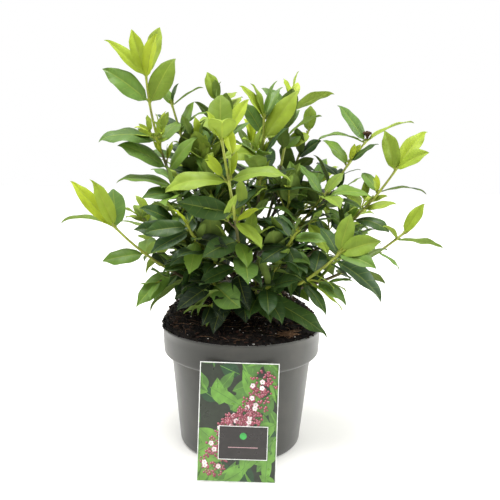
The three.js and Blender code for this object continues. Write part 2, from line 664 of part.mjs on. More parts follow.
// Opposite pairs by the rule, from pairs_from down to the end of the leafy length, with side twigs.
function ruledGrowth(stem, leaves, twigs) {
  const { shoot, draw } = stem;
  const leafy = shoot.leafy > 0 ? shoot.leafy : stem.length - stem.knuckle - 22;
  let below = shoot.pairs_from;
  let roll = shoot.roll;
  let step = 7;
  while (below < leafy - 8) {
    const { point, along } = spotBelow(stem, below);
    for (const side of [1, -1]) {
      const across = acrossStem(along, roll + (draw() - 0.5) * 24).multiplyScalar(side);
      const splay = radians(Math.min(OLD_SPLAY, YOUNG_SPLAY + below * SPLAY_PER_MM) + (draw() - 0.5) * 16);
      const chord = turnedToward(along, across, splay);
      chord.z -= 0.1 * Math.min(1, below / 80);
      chord.normalize();
      const grown = 0.6 + 0.4 * Math.min(1, below / 30);
      const length = shoot.size * grown * (0.86 + 0.28 * draw());
      const [arch, turn, width] = [10 + 28 * draw(), -30 + 60 * draw(), 0.4 + 0.1 * draw()];
      leaves.push(blade(point, chord, length, arch, turn, width, below));
      const [chance, reach, tilt] = [draw(), draw(), draw()];
      if (below > 24 && chance < SIDE_TWIG_CHANCE) {
        const angle = radians(SIDE_TWIG_ANGLE + 14 * tilt);
        const direction = turnedToward(along, across, angle).normalize();
        twigs.push({ base: point, direction, length: 16 + 20 * reach, below });
      }
    }
    below += step + (draw() - 0.5) * 4;
    step = Math.min(PAIR_GAP, step + 10);
    roll += PAIR_TURN;
  }
}

// Small leaves on a side twig: a pair at its tip and, on a long one, a pair lower down.
function twigLeaves(side, draw) {
  const leaves = [];
  const tip = side.base.clone().addScaledVector(side.direction, side.length);
  const levels = side.length > 21 ? [0, side.length * 0.42] : [0];
  for (const [level, below] of levels.entries()) {
    const point = tip.clone().addScaledVector(side.direction, -below - 0.6);
    for (const hand of [1, -1]) {
      const across = acrossStem(side.direction, 20 + 90 * level + 50 * draw()).multiplyScalar(hand);
      const splay = radians(22 + 26 * level + 12 * draw());
      const chord = turnedToward(side.direction, across, splay);
      const length = (20 + 8 * level) * (0.8 + 0.5 * draw());
      leaves.push(blade(point, chord.normalize(), length, 12, -20 + 50 * draw(), 0.38, side.below * 0.3));
    }
  }
  return leaves;
}

// Everything that grows on a stem, as data.
function growthOf(stem) {
  const leaves = measuredLeaves(stem);
  const twigs = stem.shoot.twigs.map((row) => ({
    base: spotBelow(stem, row.below).point,
    direction: pointing(row.heading, row.lift),
    length: row.length,
    below: row.below,
  }));
  ruledGrowth(stem, leaves, twigs);
  return { leaves, twigs: twigs.map((side) => ({ ...side, leaves: twigLeaves(side, stem.draw) })) };
}

// Leaf solid: a folded and arched blade of eight corners whose root is sunk in the stem.
function leafBody({ base, chord, normal, length, arch, width }) {
  const across = chord.clone().cross(normal);
  const root = base.clone().addScaledVector(chord, -LEAF_ROOT_DEPTH);
  const crest = base.clone().addScaledVector(chord, length / 2);
  crest.addScaledVector(normal, (length / 2) * Math.tan(radians(arch / 2)));
  const tip = base.clone().addScaledVector(chord, length);
  const midrib = new THREE.QuadraticBezierCurve3(root, crest, tip);
  const thick = Math.max(0.5, length * LEAF_THICKNESS) / 2;
  const fold = radians(LEAF_FOLD);
  const edge = (share, half, side) => midrib.getPoint(share)
    .addScaledVector(across, side * half * Math.cos(fold))
    .addScaledVector(normal, half * Math.sin(fold));
  const low = (length * width) / 2;
  const high = low * LEAF_HIGH_NARROWING;
  const middle = midrib.getPoint(LEAF_CREST_SHARE);
  const corners = [
    root,
    edge(LEAF_LOW_SHARE, low, 1),
    edge(LEAF_HIGH_SHARE, high, 1),
    tip,
    edge(LEAF_HIGH_SHARE, high, -1),
    edge(LEAF_LOW_SHARE, low, -1),
    middle.clone().addScaledVector(normal, thick),
    middle.clone().addScaledVector(normal, -thick),
  ];
  const faces = [
    [6, 0, 1], [6, 1, 2], [6, 2, 3], [6, 3, 4], [6, 4, 5], [6, 5, 0],
    [7, 1, 0], [7, 2, 1], [7, 3, 2], [7, 4, 3], [7, 5, 4], [7, 0, 5],
  ];
  const geometry = new THREE.BufferGeometry();
  geometry.setFromPoints(corners);
  geometry.setIndex(faces.flat());
  return bodyOf(geometry);
}

// Side twig solid.
function twigBody(side) {
  const end = side.base.clone().addScaledVector(side.direction, side.length);
  const line = new THREE.LineCurve3(side.base, end);
  return limb(line, 0, side.length, [TWIG_RADIUS, TWIG_TIP_RADIUS], 3);
}

// A body with its box, so that far neighbours are passed over quickly.
function boxed(body) {
  return { body, box: body.boundingBox() };
}

// True when two boxed bodies keep the gap between them.
function keepsClear(one, other) {
  for (let axis = 0; axis < 3; axis += 1) {
    if (one.box.min[axis] > other.box.max[axis] + GAP) return true;
    if (other.box.min[axis] > one.box.max[axis] + GAP) return true;
  }
  return one.body.minGap(other.body, 2 * GAP) > GAP;
}

const clearOfAll = (one, others) => others.every((other) => keepsClear(one, other));

// Bough from its knuckle to where the foliage begins, with the knuckles of its own branches.
function boughBody(stem, children) {
  const middle = (stem.radius + STEM_RADIUS) / 2;
  const bough = limb(stem.curve, stem.knuckle + GAP, stem.split, [stem.radius, middle, STEM_RADIUS], 6);
  return fuse([bough, ...children.map(knuckleBody)]);
}

// Main stem of a mass of leaves.
function leafyStemBody(stem) {
  const start = stem.split + GAP;
  const radii = [0, 1, 2, 3, 4].map((ring) => STEM_RADIUS + ((STEM_TIP_RADIUS - STEM_RADIUS) * ring) / 4);
  return limb(stem.curve, start, stem.length, radii, 4);
}

// The outer part of a leaf, which must not cross the other leaves of its mass.
function bladeProbe(data) {
  const root = data.length * PROBE_SHARE;
  const base = data.base.clone().addScaledVector(data.chord, root);
  return boxed(leafBody({ ...data, base, length: data.length - root, width: data.width * 0.9 }));
}

// Masses of leaves: each takes its leaves in turn and leaves out what would touch a neighbour.
function massBodies(stems, limbs) {
  const taken = stems.map((stem) => [boxed(leafyStemBody(stem))]);
  const blades = stems.map(() => []);
  stems.forEach((stem, order) => {
    const neighbours = [...limbs, ...taken.filter((list, place) => place !== order).flat()];
    const clearOfOwn = (data) => clearOfAll(bladeProbe(data), blades[order]);
    const fits = (data) => clearOfOwn(data) && clearOfAll(boxed(leafBody(data)), neighbours);
    const tryLeaf = (full) => {
      const data = LEAF_TRIES.map((share) => ({ ...full, length: full.length * share })).find(fits);
      if (!data) return;
      const leafSolid = boxed(leafBody(data));
      taken[order].push(leafSolid);
      blades[order].push(leafSolid);
    };
    const { leaves, twigs } = growthOf(stem);
    leaves.forEach(tryLeaf);
    for (const side of twigs) {
      const candidate = boxed(twigBody(side));
      if (clearOfAll(candidate, neighbours)) {
        taken[order].push(candidate);
        side.leaves.forEach(tryLeaf);
      }
    }
  });
  return taken.map((list) => fuse(list.map((entry) => entry.body)));
}

// Plain coloured material.
function finish(color, roughness, metalness = 0) {
  return new THREE.MeshStandardMaterial({ color, roughness, metalness });
}

const FINISHES = {
  pot: finish('#6d6a64', 0.55),
  soil: finish('#33241c', 1),
  card: finish('#7fa35a', 0.35),
  trunk: finish('#77664a', 0.8),
  bough: finish('#8c8a4a', 0.7),
  young: finish('#8fb62c', 0.45),
  grown: finish('#4f7a2a', 0.45),
  mature: finish('#2f5426', 0.45),
};

// Leaves are brightest on the shoots that stand out of the crown.
const YOUNG_SHOOTS = ['front_bright', 'right_bright', 'left_low', 'right_front', 'right_low', 'left_tall'];
const GROWN_SHOOTS = ['centre_tall', 'back_right', 'back_left', 'back_small', 'left_second', 'back_bud'];

function foliageFinish(name) {
  if (YOUNG_SHOOTS.includes(name)) return FINISHES.young;
  return GROWN_SHOOTS.includes(name) ? FINISHES.grown : FINISHES.mature;
}

function buildPlant() {
  const plant = new THREE.Group();
  plant.name = 'potted_laurustinus';
  const add = (name, body, material) => {
    const mesh = new THREE.Mesh(geometryOf(body), material);
    mesh.name = name;
    plant.add(mesh);
  };
  const trunk = trunkStem();
  const stems = stemCourses(trunk);
  const childrenOf = (name) => stems.filter(({ shoot }) => shoot.from === name);
  const solids = {
    pot: [potBody(), FINISHES.pot],
    soil: [soilBody(), FINISHES.soil],
    picture_card: [cardBody(), FINISHES.card],
    trunk: [trunkBody(trunk, childrenOf('trunk')), FINISHES.trunk],
  };
  for (const stem of stems.filter(({ shoot }) => shoot.leafy > 0)) {
    solids[`bough_${stem.shoot.name}`] = [boughBody(stem, childrenOf(stem.shoot.name)), FINISHES.bough];
  }
  Object.entries(solids).forEach(([name, [body, material]]) => add(name, body, material));
  const limbs = Object.values(solids).map(([body]) => boxed(body));
  massBodies(stems, limbs).forEach((body, order) => {
    const { name } = stems[order].shoot;
    add(`leaves_${name}`, body, foliageFinish(name));
  });
  return plant;
}

export default buildPlant();
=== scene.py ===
"""Looks of a young laurustinus in a nursery pot: leaves, stems, bark, pot, peat and picture card.

The file is laid out as a Blender add-on with settings, one operator for each group of pieces, and a
panel. Sizes and places are millimetres in the part's own frame, and each mesh is made in metres.
"""

from collections import defaultdict
import functools
import math

import bpy
import numpy as np
from mathutils import Matrix, Vector
from mathutils import noise


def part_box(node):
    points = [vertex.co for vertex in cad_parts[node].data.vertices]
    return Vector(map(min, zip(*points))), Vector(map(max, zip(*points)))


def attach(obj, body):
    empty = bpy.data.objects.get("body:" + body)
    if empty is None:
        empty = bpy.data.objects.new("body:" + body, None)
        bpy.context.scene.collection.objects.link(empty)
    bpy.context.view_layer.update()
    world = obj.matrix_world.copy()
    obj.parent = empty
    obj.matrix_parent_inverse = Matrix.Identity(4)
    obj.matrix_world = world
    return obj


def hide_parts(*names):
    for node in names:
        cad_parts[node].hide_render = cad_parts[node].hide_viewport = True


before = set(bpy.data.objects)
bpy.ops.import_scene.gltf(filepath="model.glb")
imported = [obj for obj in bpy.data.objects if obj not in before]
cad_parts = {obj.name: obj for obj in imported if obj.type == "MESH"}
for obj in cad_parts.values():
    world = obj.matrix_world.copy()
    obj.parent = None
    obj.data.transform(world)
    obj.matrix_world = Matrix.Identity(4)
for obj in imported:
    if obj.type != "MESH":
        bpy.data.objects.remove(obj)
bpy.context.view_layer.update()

bl_info = {
    "name": "Potted laurustinus",
    "version": (1, 0, 0),
    "blender": (4, 5, 0),
    "location": "3D View > Sidebar > Laurustinus",
    "description": "Grows a young laurustinus shrub in a nursery pot around its packed solids",
    "category": "Add Mesh",
}

METRES = 0.001

# Seeds of the random draws. The first is that of the part's source.
SHOOT_SEED = 7919
FINE_SEED = 104729
BUD_SEED = 5501
PEAT_SEED = 4021
CARD_SEED = 7307

# Short trunk and the flat under it on the root ball, as in the part's source.
SOIL_FOOT = 160
SOIL_FOOT_RADIUS = 13
TRUNK_FOOT = (0, 0, 160.3)
TRUNK_TOP = (3, -2, 202)
TRUNK_RADII = [10.5, 7.6, 6.6, 6.2, 5.8, 5.2, 4.6]
TRUNK_KNUCKLE = 17

# Stems: radii at the knuckle, where foliage begins and at the tip.
BOUGH_KNUCKLE = 12
BOUGH_RADIUS = 2.7
BRANCH_RADIUS = 2.3
STEM_RADIUS = 1.8
STEM_TIP_RADIUS = 1.3
TWIG_RADIUS = 1.15
TWIG_TIP_RADIUS = 0.85
YOUNG_WOOD = 84

# The growth rule: opposite pairs, each turned a quarter round the stem from the last.
LEAF_WIDTH = 0.44
LEAF_ROOT_DEPTH = 1
PAIR_TURN = 90
PAIR_GAP = 27
YOUNG_SPLAY = 20
OLD_SPLAY = 74
SPLAY_PER_MM = 0.5
SIDE_TWIG_CHANCE = 0.12
SIDE_TWIG_ANGLE = 36

# Finer twigs between the ruled ones, many inside the crown and few outside it.
FINE_TWIG_CHANCE = 0.6
OUTER_TWIG_CHANCE = 0.1
INNER_REACH = 92
INNER_HEIGHT = 292
FINE_TWIG_FROM = 34
FINE_TWIG_STEP = 17

# A ruled leaf is left out where more of its points than the limit are within reach of another leaf.
CROWD_CELL = 4.0
CROWD_REACH = 2.6
CROWD_LIMIT = 2

# Form of a leaf, in shares of its length or half width. The fold is in degrees, the thickness in mm.
PETIOLE_SHARE = 0.08
BLADE_ROOT_POWER = 0.54
BLADE_TIP_POWER = 0.56
BLADE_POINT = 0.5
TIP_HOOK = 1.4
BLADE_FOLD = 12
BROAD_LEAF = 0.62
MEASURED_SPREAD = 0.2
VEIN_PAIRS = 6
VEIN_HALF = 0.0055
VEIN_SWEEP = 0.13
VEIN_RELIEF = 0.0085
RIB_RELIEF = 0.007
LEAF_THICKNESS = 0.34
LEAF_COLUMNS = np.array([-1, -0.8, -0.5, -0.2, -0.045, 0.045, 0.2, 0.5, 0.8, 1])

# Leaves shorter than this are drawn with fewer points and without side veins.
SMALL_LEAF = 32
SMALL_LEAF_ROWS = 11
SMALL_COLUMNS = np.array([-1, -0.55, -0.07, 0.07, 0.55, 1])

# Tones of foliage from the youngest to the oldest, and how far from the tip they change. Shade, the
# darkest, is both old leaves' colour and painted shade.
TONES = ("lime", "fresh", "green", "deep", "shade")
TIP_REACH = 22
MIDDLE_REACH = 70

# Shares of leaves a tone lighter or darker. Above the sunny height any leaf may turn lighter, painted light
# on the top of the crown; below it only deep ones do.
PAINTED_SUN_HEIGHT = 255
LIGHTER_SHARE = 0.13
DARKER_SHARE = 0.2

# Deep leaves of shoots whose tips lie behind this are a piece of their own.
REAR_FROM = 10

# Skin of the leaves: its sheen, three near shades of each tone, and what each part of a blade shows.
LEAF_SHEEN = 0.24
LEAF_SHADES = ((1.16, 1.1, 0.9), (1, 1, 1), (0.84, 0.88, 1.02))
UNDER, RIB, UNDER_VEIN, UPPER, VEIN = range(5)
LEAF_SLOTS = {"lime": "young_leaves", "fresh": "young_leaves", "green": "grown_leaves",
              "deep": "mature_leaves", "shade": "mature_leaves"}

# Old flower head, and the bark that fuses the limbs: its relief is deepest at the foot.
DRIED_ON = "right_fruit"
DRIED_STALKS = 30
DRIED_SPREAD = 4.6
GOLDEN_TURN = 137.5
BARK_GRAIN = 0.7
BARK_HEIGHTS = (160, 215, 300)
BARK_DEPTHS = (0.75, 0.3, 0.12)

# Pot below its collar, and the peat in it.
POT_BODY_SHARE = 0.48
POT_STEP = 8
PEAT_RADIUS = 92.2
PEAT_UNDERSIDE = 118
FIBRE_REACH = 91.5
RIM_TOP = 143.3
RIM_OUTER = 95.4
RIM_CRUMBS = 420
CHIP_FIBRES = 70

# Picture card: its lean and turn in degrees, its panel's middle and half sizes, how much is printed
# on it, and its inks.
CARD_THICKNESS = 0.6
CARD_BORDER = 0.9
CARD_BOW = 0.36
CARD_LEAN = 7
CARD_TURN = 0.9
CARD_X = -2
CARD_FOOT_Y = -109.75
CARD_PANEL = (6, 42, 25, 17)
PRINTED_LEAVES = 84
GARLAND_STEPS = 8
STEP_BUDS = 78
STEP_BLOSSOMS = 3
CARD_INKS = ("paper", "ground", "dark_leaf", "mid_leaf", "light_leaf", "dark_bud", "bud", "bright_bud",
             "blossom", "panel", "tab")

# Lamps: name, place, share of the key light's power and size.
KEY_LIGHTS = (
    ("key_overhead", (-0.2, -0.2, 2.15), 1.0, 1.2),
    ("side_left", (-1.5, -0.1, 0.9), 0.18, 1.0),
    ("side_right", (1.5, -0.1, 0.7), 0.4, 1.0),
)
LIGHT_AIM = (0, 0, 0.25)
FLOOR_HALF_SIDE = 12

UP = np.array([0.0, 0.0, 1.0])
TO_VIEWER = np.array([0.0, -1.0, 0.0])


def leaf(below, heading, lift, length, arch=15, turn=20, width=LEAF_WIDTH, tone=None):
    """A leaf of measured place: how far below the tip it grows, where it points, its length and form."""
    return {"below": below, "heading": heading, "lift": lift, "length": length, "arch": arch, "turn": turn,
            "width": width, "tone": tone}


def twig(below, heading, lift, length, tone=None):
    """A side twig of measured place."""
    return {"below": below, "heading": heading, "lift": lift, "length": length, "tone": tone}


def sprig(below, heading, lift, length, size, tone="lime"):
    """A fine twig of measured place, with one young pair of leaves that has hardly opened."""
    return {"below": below, "heading": heading, "lift": lift, "length": length, "size": size, "tone": tone}


def shoot(name, start, out, tip, sweep, rise, leafy, pairs_from, roll, size, tones,
          bow=0, leaves=(), twigs=(), sprigs=()):
    """One shoot of the shrub, from the trunk or another shoot, with its tones from the tip down."""
    return {"name": name, "start": start, "out": out, "tip": tip, "sweep": sweep, "rise": rise,
            "leafy": leafy, "pairs_from": pairs_from, "roll": roll, "size": size, "tones": tones,
            "bow": bow, "leaves": leaves, "twigs": twigs, "sprigs": sprigs}


# Shoots in the order of the part's source, with the same places and bends.
# Low shoots inside the shrub take the deep and shade tones: darker leaves as painted shade, besides their
# age.
SHOOTS = [
    shoot("left_tall", "trunk", 26, (-114, 0, 430), sweep=0.9, rise=0.45, leafy=190,
          pairs_from=146, roll=80, size=58, tones=("lime", "green", "green"),
          leaves=[
              leaf(1, -165, 45, 58, -10, 62, 0.28), leaf(1, -140, 68, 52, 10, 112, 0.28),
              leaf(3, 55, 73, 65, -10, 10, 0.3), leaf(4, -60, 60, 52, 10, 110, 0.34),
              leaf(30, -157, 33, 62, 20, 60), leaf(32, -15, 61, 59, 10, 90, 0.47, "fresh"),
              leaf(76, -160, 1, 69, 50, 30), leaf(79, 60, 40, 50, 25, 0), leaf(108, -155, 27, 63, 25, 40),
              leaf(111, -25, 49, 54, 15, 65, 0.44), leaf(133, -160, 9, 70, 40, 25, 0.36),
              leaf(140, -140, -5, 48, 45, 40),
          ], twigs=[twig(79, -120, 40, 22, "lime"), twig(82, -75, 45, 26, "fresh")],
          sprigs=[sprig(77, -175, 40, 10, 23), sprig(78, -70, 78, 12, 27), sprig(96, -140, 62, 8, 20),
                  sprig(104, -60, 70, 8, 22, "fresh")]),
    shoot("front_bright", "trunk", 27, (-22, -90, 354), sweep=0.95, rise=0.3, leafy=140,
          bow=22, pairs_from=124, roll=0, size=54, tones=("lime", "fresh", "deep"),
          leaves=[
              leaf(2, -87, 24, 44, 66, 0, 0.66), leaf(1, 113, 74, 50, 10, 10, 0.52, "fresh"),
              leaf(4, 10, 61, 52, 5, 30, 0.34), leaf(3, -165, 62, 34, 10, 40, 0.4),
              leaf(44, -171, -9, 67, 58, 35, 0.34), leaf(42, -16, 8, 66, 40, 35, 0.36),
              leaf(76, -160, 8, 60, 15, 60, 0.38, "deep"), leaf(74, 60, 30, 50, 20, 0),
              leaf(86, -38, -32, 42, 25, 10, 0.5, "fresh"), leaf(84, -32, 26, 30, 10, 40, 0.36, "lime"),
              leaf(110, -140, -13, 48, 25, 45, 0.46, "deep"), leaf(111, -65, -38, 36, 25, 0, 0.5, "green"),
          ], sprigs=[sprig(46, -170, 50, 12, 27), sprig(45, -60, 78, 8, 26)]),
    shoot("centre_tall", "trunk", 41, (21, -30, 383), sweep=0.9, rise=0.4, leafy=146,
          pairs_from=62, roll=80, size=50, tones=("fresh", "green", "deep"),
          leaves=[
              leaf(1, 180, 72, 40, 5, 30, 0.32), leaf(2, -158, 52, 44, 10, 45, 0.36),
              leaf(2, -30, 76, 42, 0, 50, 0.3), leaf(3, 50, 58, 48, -10, 10, 0.3),
              leaf(20, 170, 58, 44, 20, 60, 0.36), leaf(24, -12, 53, 65, 10, 75, 0.36, "fresh"),
              leaf(44, -150, 1, 50, 45, 40, 0.42, "fresh"), leaf(46, -38, 48, 47, 15, 40, 0.38, "deep"),
              leaf(84, -8, 4, 76, 30, 12, 0.34), leaf(82, -134, 17, 45, 20, 20),
          ], sprigs=[sprig(44, -110, 72, 5, 23), sprig(46, -20, 70, 5, 20),
                  sprig(70, -60, 60, 8, 20, "fresh")]),
    shoot("right_bright", "trunk", 24, (178, 0, 331), sweep=0.66, rise=0.34, leafy=134,
          pairs_from=96, roll=10, size=48, tones=("lime", "green", "deep"),
          leaves=[
              leaf(5, 180, 77, 49, 5, 80, 0.4, "fresh"), leaf(3, 100, 55, 42, 5, 20, 0.36),
              leaf(6, 22, 54, 66, 5, 45, 0.26), leaf(2, -47, 27, 44, 15, 50, 0.48),
              leaf(35, -5, 3, 56, 42, -12, 0.26), leaf(36, 120, 40, 40, 15, 10),
              leaf(44, -155, 6, 60, 40, 20, 0.34), leaf(61, -25, 15, 38, 10, 40, 0.32, "fresh"),
              leaf(62, -150, 19, 40, 20, 35), leaf(79, -37, -12, 47, 50, 20, 0.36),
          ], sprigs=[sprig(38, -150, 80, 3, 21)]),
    shoot("left_low", "trunk", 12, (-141, -50, 262), sweep=0.62, rise=0.3, leafy=112,
          pairs_from=102, roll=0, size=52, tones=("lime", "green", "deep"),
          leaves=[
              leaf(3, -167, 46, 68, 0, 70, 0.2), leaf(2, -129, 64, 58, 5, 105, 0.24),
              leaf(4, 110, 70, 47, 10, 18, 0.52, "green"), leaf(3, -175, 8, 59, 45, -15, 0.26, "green"),
              leaf(46, -155, -7, 47, 15, 45, 0.36, "green"), leaf(49, -35, 34, 36, 10, -30),
              leaf(47, 95, 20, 44, 25, 10), leaf(80, -136, -40, 57, 15, 35, 0.34, "green"),
              leaf(81, -129, -52, 40, 10, 10, 0.3), leaf(78, 120, 20, 46, 25, 10),
          ]),
    shoot("right_front", "trunk", 13, (103, -80, 242), sweep=0.55, rise=0.12, leafy=70,
          pairs_from=200, roll=0, size=50, tones=("fresh", "deep", "deep"),
          leaves=[
              leaf(3, 30, 74, 44, 5, 60, 0.4), leaf(3, -28, 23, 46, 15, 60, 0.48),
              leaf(4, -42, -8, 46, 20, 35, 0.4, "green"), leaf(5, 120, 45, 40, 15, 10, 0.44, "deep"),
              leaf(13, -20, -35, 68, 34, 30, 0.34, "deep"), leaf(19, -32, -30, 30, 15, 0, 0.26, "deep"),
              leaf(41, -50, -18, 31, 10, -20, 0.4, "fresh"), leaf(42, 70, 35, 42, 20, 10),
              leaf(60, -50, -34, 48, 25, 20, 0.22, "deep"), leaf(54, -18, -34, 52, 20, 0, 0.24, "fresh"),
              leaf(60, 100, 40, 44, 20, 10),
          ]),
    shoot("right_fruit", "right_bright", 50, (150, 40, 365), sweep=0.5, rise=0.6, leafy=140,
          pairs_from=84, roll=30, size=46, tones=("green", "deep", "deep"),
          leaves=[
              leaf(3, 180, 50, 57, 15, 50, 0.4), leaf(5, 180, 6, 60, 48, 5, 0.28),
              leaf(4, 0, 26, 64, 30, 10, 0.3), leaf(38, -163, 44, 44, 10, 65, 0.4, "green"),
              leaf(35, -29, 36, 40, 15, 40, 0.42, "deep"), leaf(57, -43, 19, 29, 15, 15, 0.34),
              leaf(59, 130, 30, 40, 20, 10),
          ], sprigs=[sprig(40, 10, 66, 6, 25), sprig(43, 165, 70, 4, 18)]),
    shoot("right_low", "right_front", 62, (182, -30, 258), sweep=0.5, rise=0.16, leafy=112,
          pairs_from=64, roll=80, size=44, tones=("lime", "green", "deep"),
          leaves=[
              leaf(1, -16, 59, 40, 5, 60, 0.36), leaf(12, -5, -6, 53, 10, -20, 0.18, "green"),
              leaf(11, -142, 36, 30, 30, 0, 0.26), leaf(37, -34, -29, 32, 35, 0, 0.3),
              leaf(38, 150, 40, 38, 15, 10),
          ]),
    shoot("back_right", "trunk", 34, (55, 20, 414), sweep=0.75, rise=0.4, leafy=146,
          pairs_from=42, roll=70, size=50, tones=("fresh", "green", "deep"),
          leaves=[
              leaf(1, -47, 76, 29, 5, 40, 0.3, "lime"), leaf(4, 58, 53, 28, 5, 30, 0.36, "lime"),
              leaf(5, 130, 63, 30, 5, 0, 0.26, "lime"), leaf(20, -6, 26, 56, 25, -25, 0.28),
              leaf(22, 170, 45, 46, 20, 30),
          ]),
    shoot("back_left", "trunk", 30, (-37, 60, 416), sweep=0.75, rise=0.42, leafy=158,
          pairs_from=40, roll=20, size=52, tones=("fresh", "green", "deep"),
          leaves=[
              leaf(6, 180, 72, 39, 10, 70, 0.48), leaf(7, -64, 77, 26, 0, 50, 0.34),
              leaf(4, -96, 60, 28, 5, 0, 0.4), leaf(14, 25, 41, 36, 15, 20),
          ]),
    shoot("left_second", "left_tall", 62, (-89, 30, 403), sweep=0.8, rise=0.42, bow=-34, leafy=156,
          pairs_from=66, roll=100, size=52, tones=("green", "deep", "deep"),
          leaves=[
              leaf(1, -37, 70, 26, 5, 60), leaf(2, 24, 37, 46, 5, -5, 0.26), leaf(3, 160, 55, 36, 10, 30),
              leaf(38, -23, 69, 43, 10, 60, 0.42, "green"), leaf(33, 10, 35, 44, 50, 10, 0.36, "green"),
              leaf(40, 150, 40, 48, 20, 10),
          ]),
    shoot("back_bud", "back_right", 56, (80, 60, 378), sweep=0.7, rise=0.42, bow=14, leafy=128,
          pairs_from=62, roll=30, size=50, tones=("fresh", "deep", "deep"),
          leaves=[
              leaf(3, 0, 84, 33, 5, 80, 0.52), leaf(4, -136, -30, 40, 25, 30, 0.5),
              leaf(34, -105, 65, 37, 10, 40, 0.5), leaf(38, -38, 35, 38, 15, 50, 0.5),
          ]),
    shoot("right_inner", "right_bright", 30, (96, -10, 302), sweep=0.5, rise=0.62, bow=-12, leafy=90,
          pairs_from=68, roll=80, size=46, tones=("green", "deep", "deep"),
          leaves=[
              leaf(7, -171, 49, 48, 15, 45, 0.44), leaf(4, 20, 50, 34, 10, 20),
              leaf(40, -34, 30, 45, 15, 25, 0.38), leaf(8, -70, -10, 44, 25, 0, 0.5),
              leaf(48, -135, 28, 48, 20, 45, 0.44), leaf(26, -22, 30, 30, 20, 10),
          ]),
    shoot("left_mid", "left_low", 34, (-76, -35, 266), sweep=0.4, rise=0.6, leafy=66,
          pairs_from=38, roll=40, size=50, tones=("deep", "deep", "shade"),
          leaves=[
              leaf(1, -120, 56, 31, 10, 30, 0.44, "fresh"), leaf(4, -42, 57, 28, 5, 30, 0.28, "lime"),
              leaf(6, -147, 28, 50, 20, 45, 0.42), leaf(13, -156, 1, 54, 15, 50, 0.42),
              leaf(15, 30, 25, 44, 20, 20),
          ]),
    shoot("back_small", "trunk", 38, (-56, 20, 360), sweep=0.72, rise=0.45, bow=5, leafy=0,
          pairs_from=28, roll=0, size=50, tones=("fresh", "green", "deep"),
          leaves=[
              leaf(2, -112, 80, 30, 5, 120, 0.38, "lime"), leaf(3, -39, 71, 27, 5, 40, 0.4, "green"),
          ]),
    shoot("rear_tall", "back_left", 44, (8, 105, 368), sweep=0.78, rise=0.42, leafy=134,
          pairs_from=3, roll=35, size=56, tones=("lime", "green", "deep")),
    shoot("rear_left", "back_left", 28, (-92, 102, 322), sweep=0.72, rise=0.4, leafy=140,
          pairs_from=3, roll=15, size=56, tones=("fresh", "green", "deep")),
    shoot("rear_right", "back_right", 30, (104, 112, 316), sweep=0.7, rise=0.4, leafy=140,
          pairs_from=3, roll=60, size=56, tones=("fresh", "green", "deep")),
    shoot("left_rear", "left_tall", 34, (-132, 62, 262), sweep=0.66, rise=0.34, leafy=108,
          pairs_from=3, roll=75, size=54, tones=("fresh", "green", "deep")),
    shoot("right_rear", "right_bright", 68, (142, 72, 268), sweep=0.66, rise=0.34, bow=10, leafy=96,
          pairs_from=3, roll=20, size=54, tones=("fresh", "green", "deep")),
    shoot("rear_low_left", "trunk", 12, (-58, 152, 236), sweep=0.6, rise=0.3, leafy=0,
          pairs_from=3, roll=40, size=54, tones=("green", "deep", "shade")),
    shoot("rear_low_right", "trunk", 11, (52, 158, 240), sweep=0.6, rise=0.3, leafy=0,
          pairs_from=3, roll=85, size=54, tones=("green", "deep", "shade")),
    shoot("front_right_mid", "right_front", 34, (58, -72, 262), sweep=0.4, rise=0.6, leafy=70,
          pairs_from=46, roll=30, size=50, tones=("deep", "deep", "shade"),
          leaves=[
              leaf(2, -32, 40, 30, 10, 20, 0.36), leaf(2, -153, 42, 30, 10, 30, 0.36),
              leaf(12, -31, 1, 40, 20, 35, 0.4), leaf(24, -140, -22, 42, 20, 40, 0.46),
              leaf(25, -62, -44, 40, 15, 30, 0.44), leaf(36, -45, -9, 40, 20, 30, 0.44),
              leaf(60, -112, -48, 40, 15, 30, 0.4), leaf(14, 140, 30, 44, 20, 10),
          ]),
    shoot("front_left_mid", "front_bright", 30, (-58, -74, 268), sweep=0.7, rise=0.4, bow=-8, leafy=74,
          pairs_from=46, roll=70, size=50, tones=("deep", "deep", "shade"),
          leaves=[
              leaf(2, -157, 50, 24, 10, 30, 0.36, "lime"), leaf(2, -33, 50, 26, 10, 30, 0.36, "fresh"),
              leaf(4, -162, -8, 46, 20, 45, 0.42), leaf(9, -154, -28, 48, 20, 40, 0.4),
              leaf(20, -35, -8, 42, 20, 30, 0.44), leaf(24, -100, -51, 40, 15, 25, 0.46),
              leaf(35, -139, -18, 44, 20, 40, 0.42), leaf(14, 110, 30, 44, 20, 10),
          ]),
    shoot("inner_left", "trunk", 34, (-42, -12, 316), sweep=0.75, rise=0.45, bow=16, leafy=0,
          pairs_from=4, roll=20, size=50, tones=("green", "deep", "deep")),
    shoot("inner_right", "trunk", 32, (58, -16, 312), sweep=0.75, rise=0.45, leafy=0,
          pairs_from=4, roll=65, size=46, tones=("green", "deep", "deep"),
          leaves=[
              leaf(71, -54, -13, 53, 20, 35, 0.42),
          ]),
    shoot("front_left_low", "trunk", 10, (-32, -62, 204), sweep=0.6, rise=0.4, leafy=0,
          pairs_from=300, roll=0, size=46, tones=("deep", "deep", "shade"),
          leaves=[
              leaf(2, -146, -32, 50, 15, 35, 0.38), leaf(20, -150, -30, 44, 15, -40, 0.44),
              leaf(3, -133, 14, 34, 15, 20), leaf(5, -42, -30, 42, 12, 40, 0.74, "green"),
              leaf(24, -85, -32, 44, 15, 10, 0.44), leaf(4, 150, 30, 40, 20, 10),
              leaf(22, 170, 0, 44, 20, 10), leaf(26, -40, 40, 44, 20, 20),
          ]),
    shoot("front_right_low", "trunk", 11, (29, -62, 200), sweep=0.6, rise=0.4, leafy=0,
          pairs_from=300, roll=0, size=46, tones=("deep", "deep", "shade"),
          leaves=[
              leaf(4, -114, 61, 46, 10, 40, 0.4), leaf(3, -30, 20, 42, 15, 35),
              leaf(5, -88, -28, 42, 20, 0, 0.48, "deep"), leaf(22, -112, -24, 44, 15, 10),
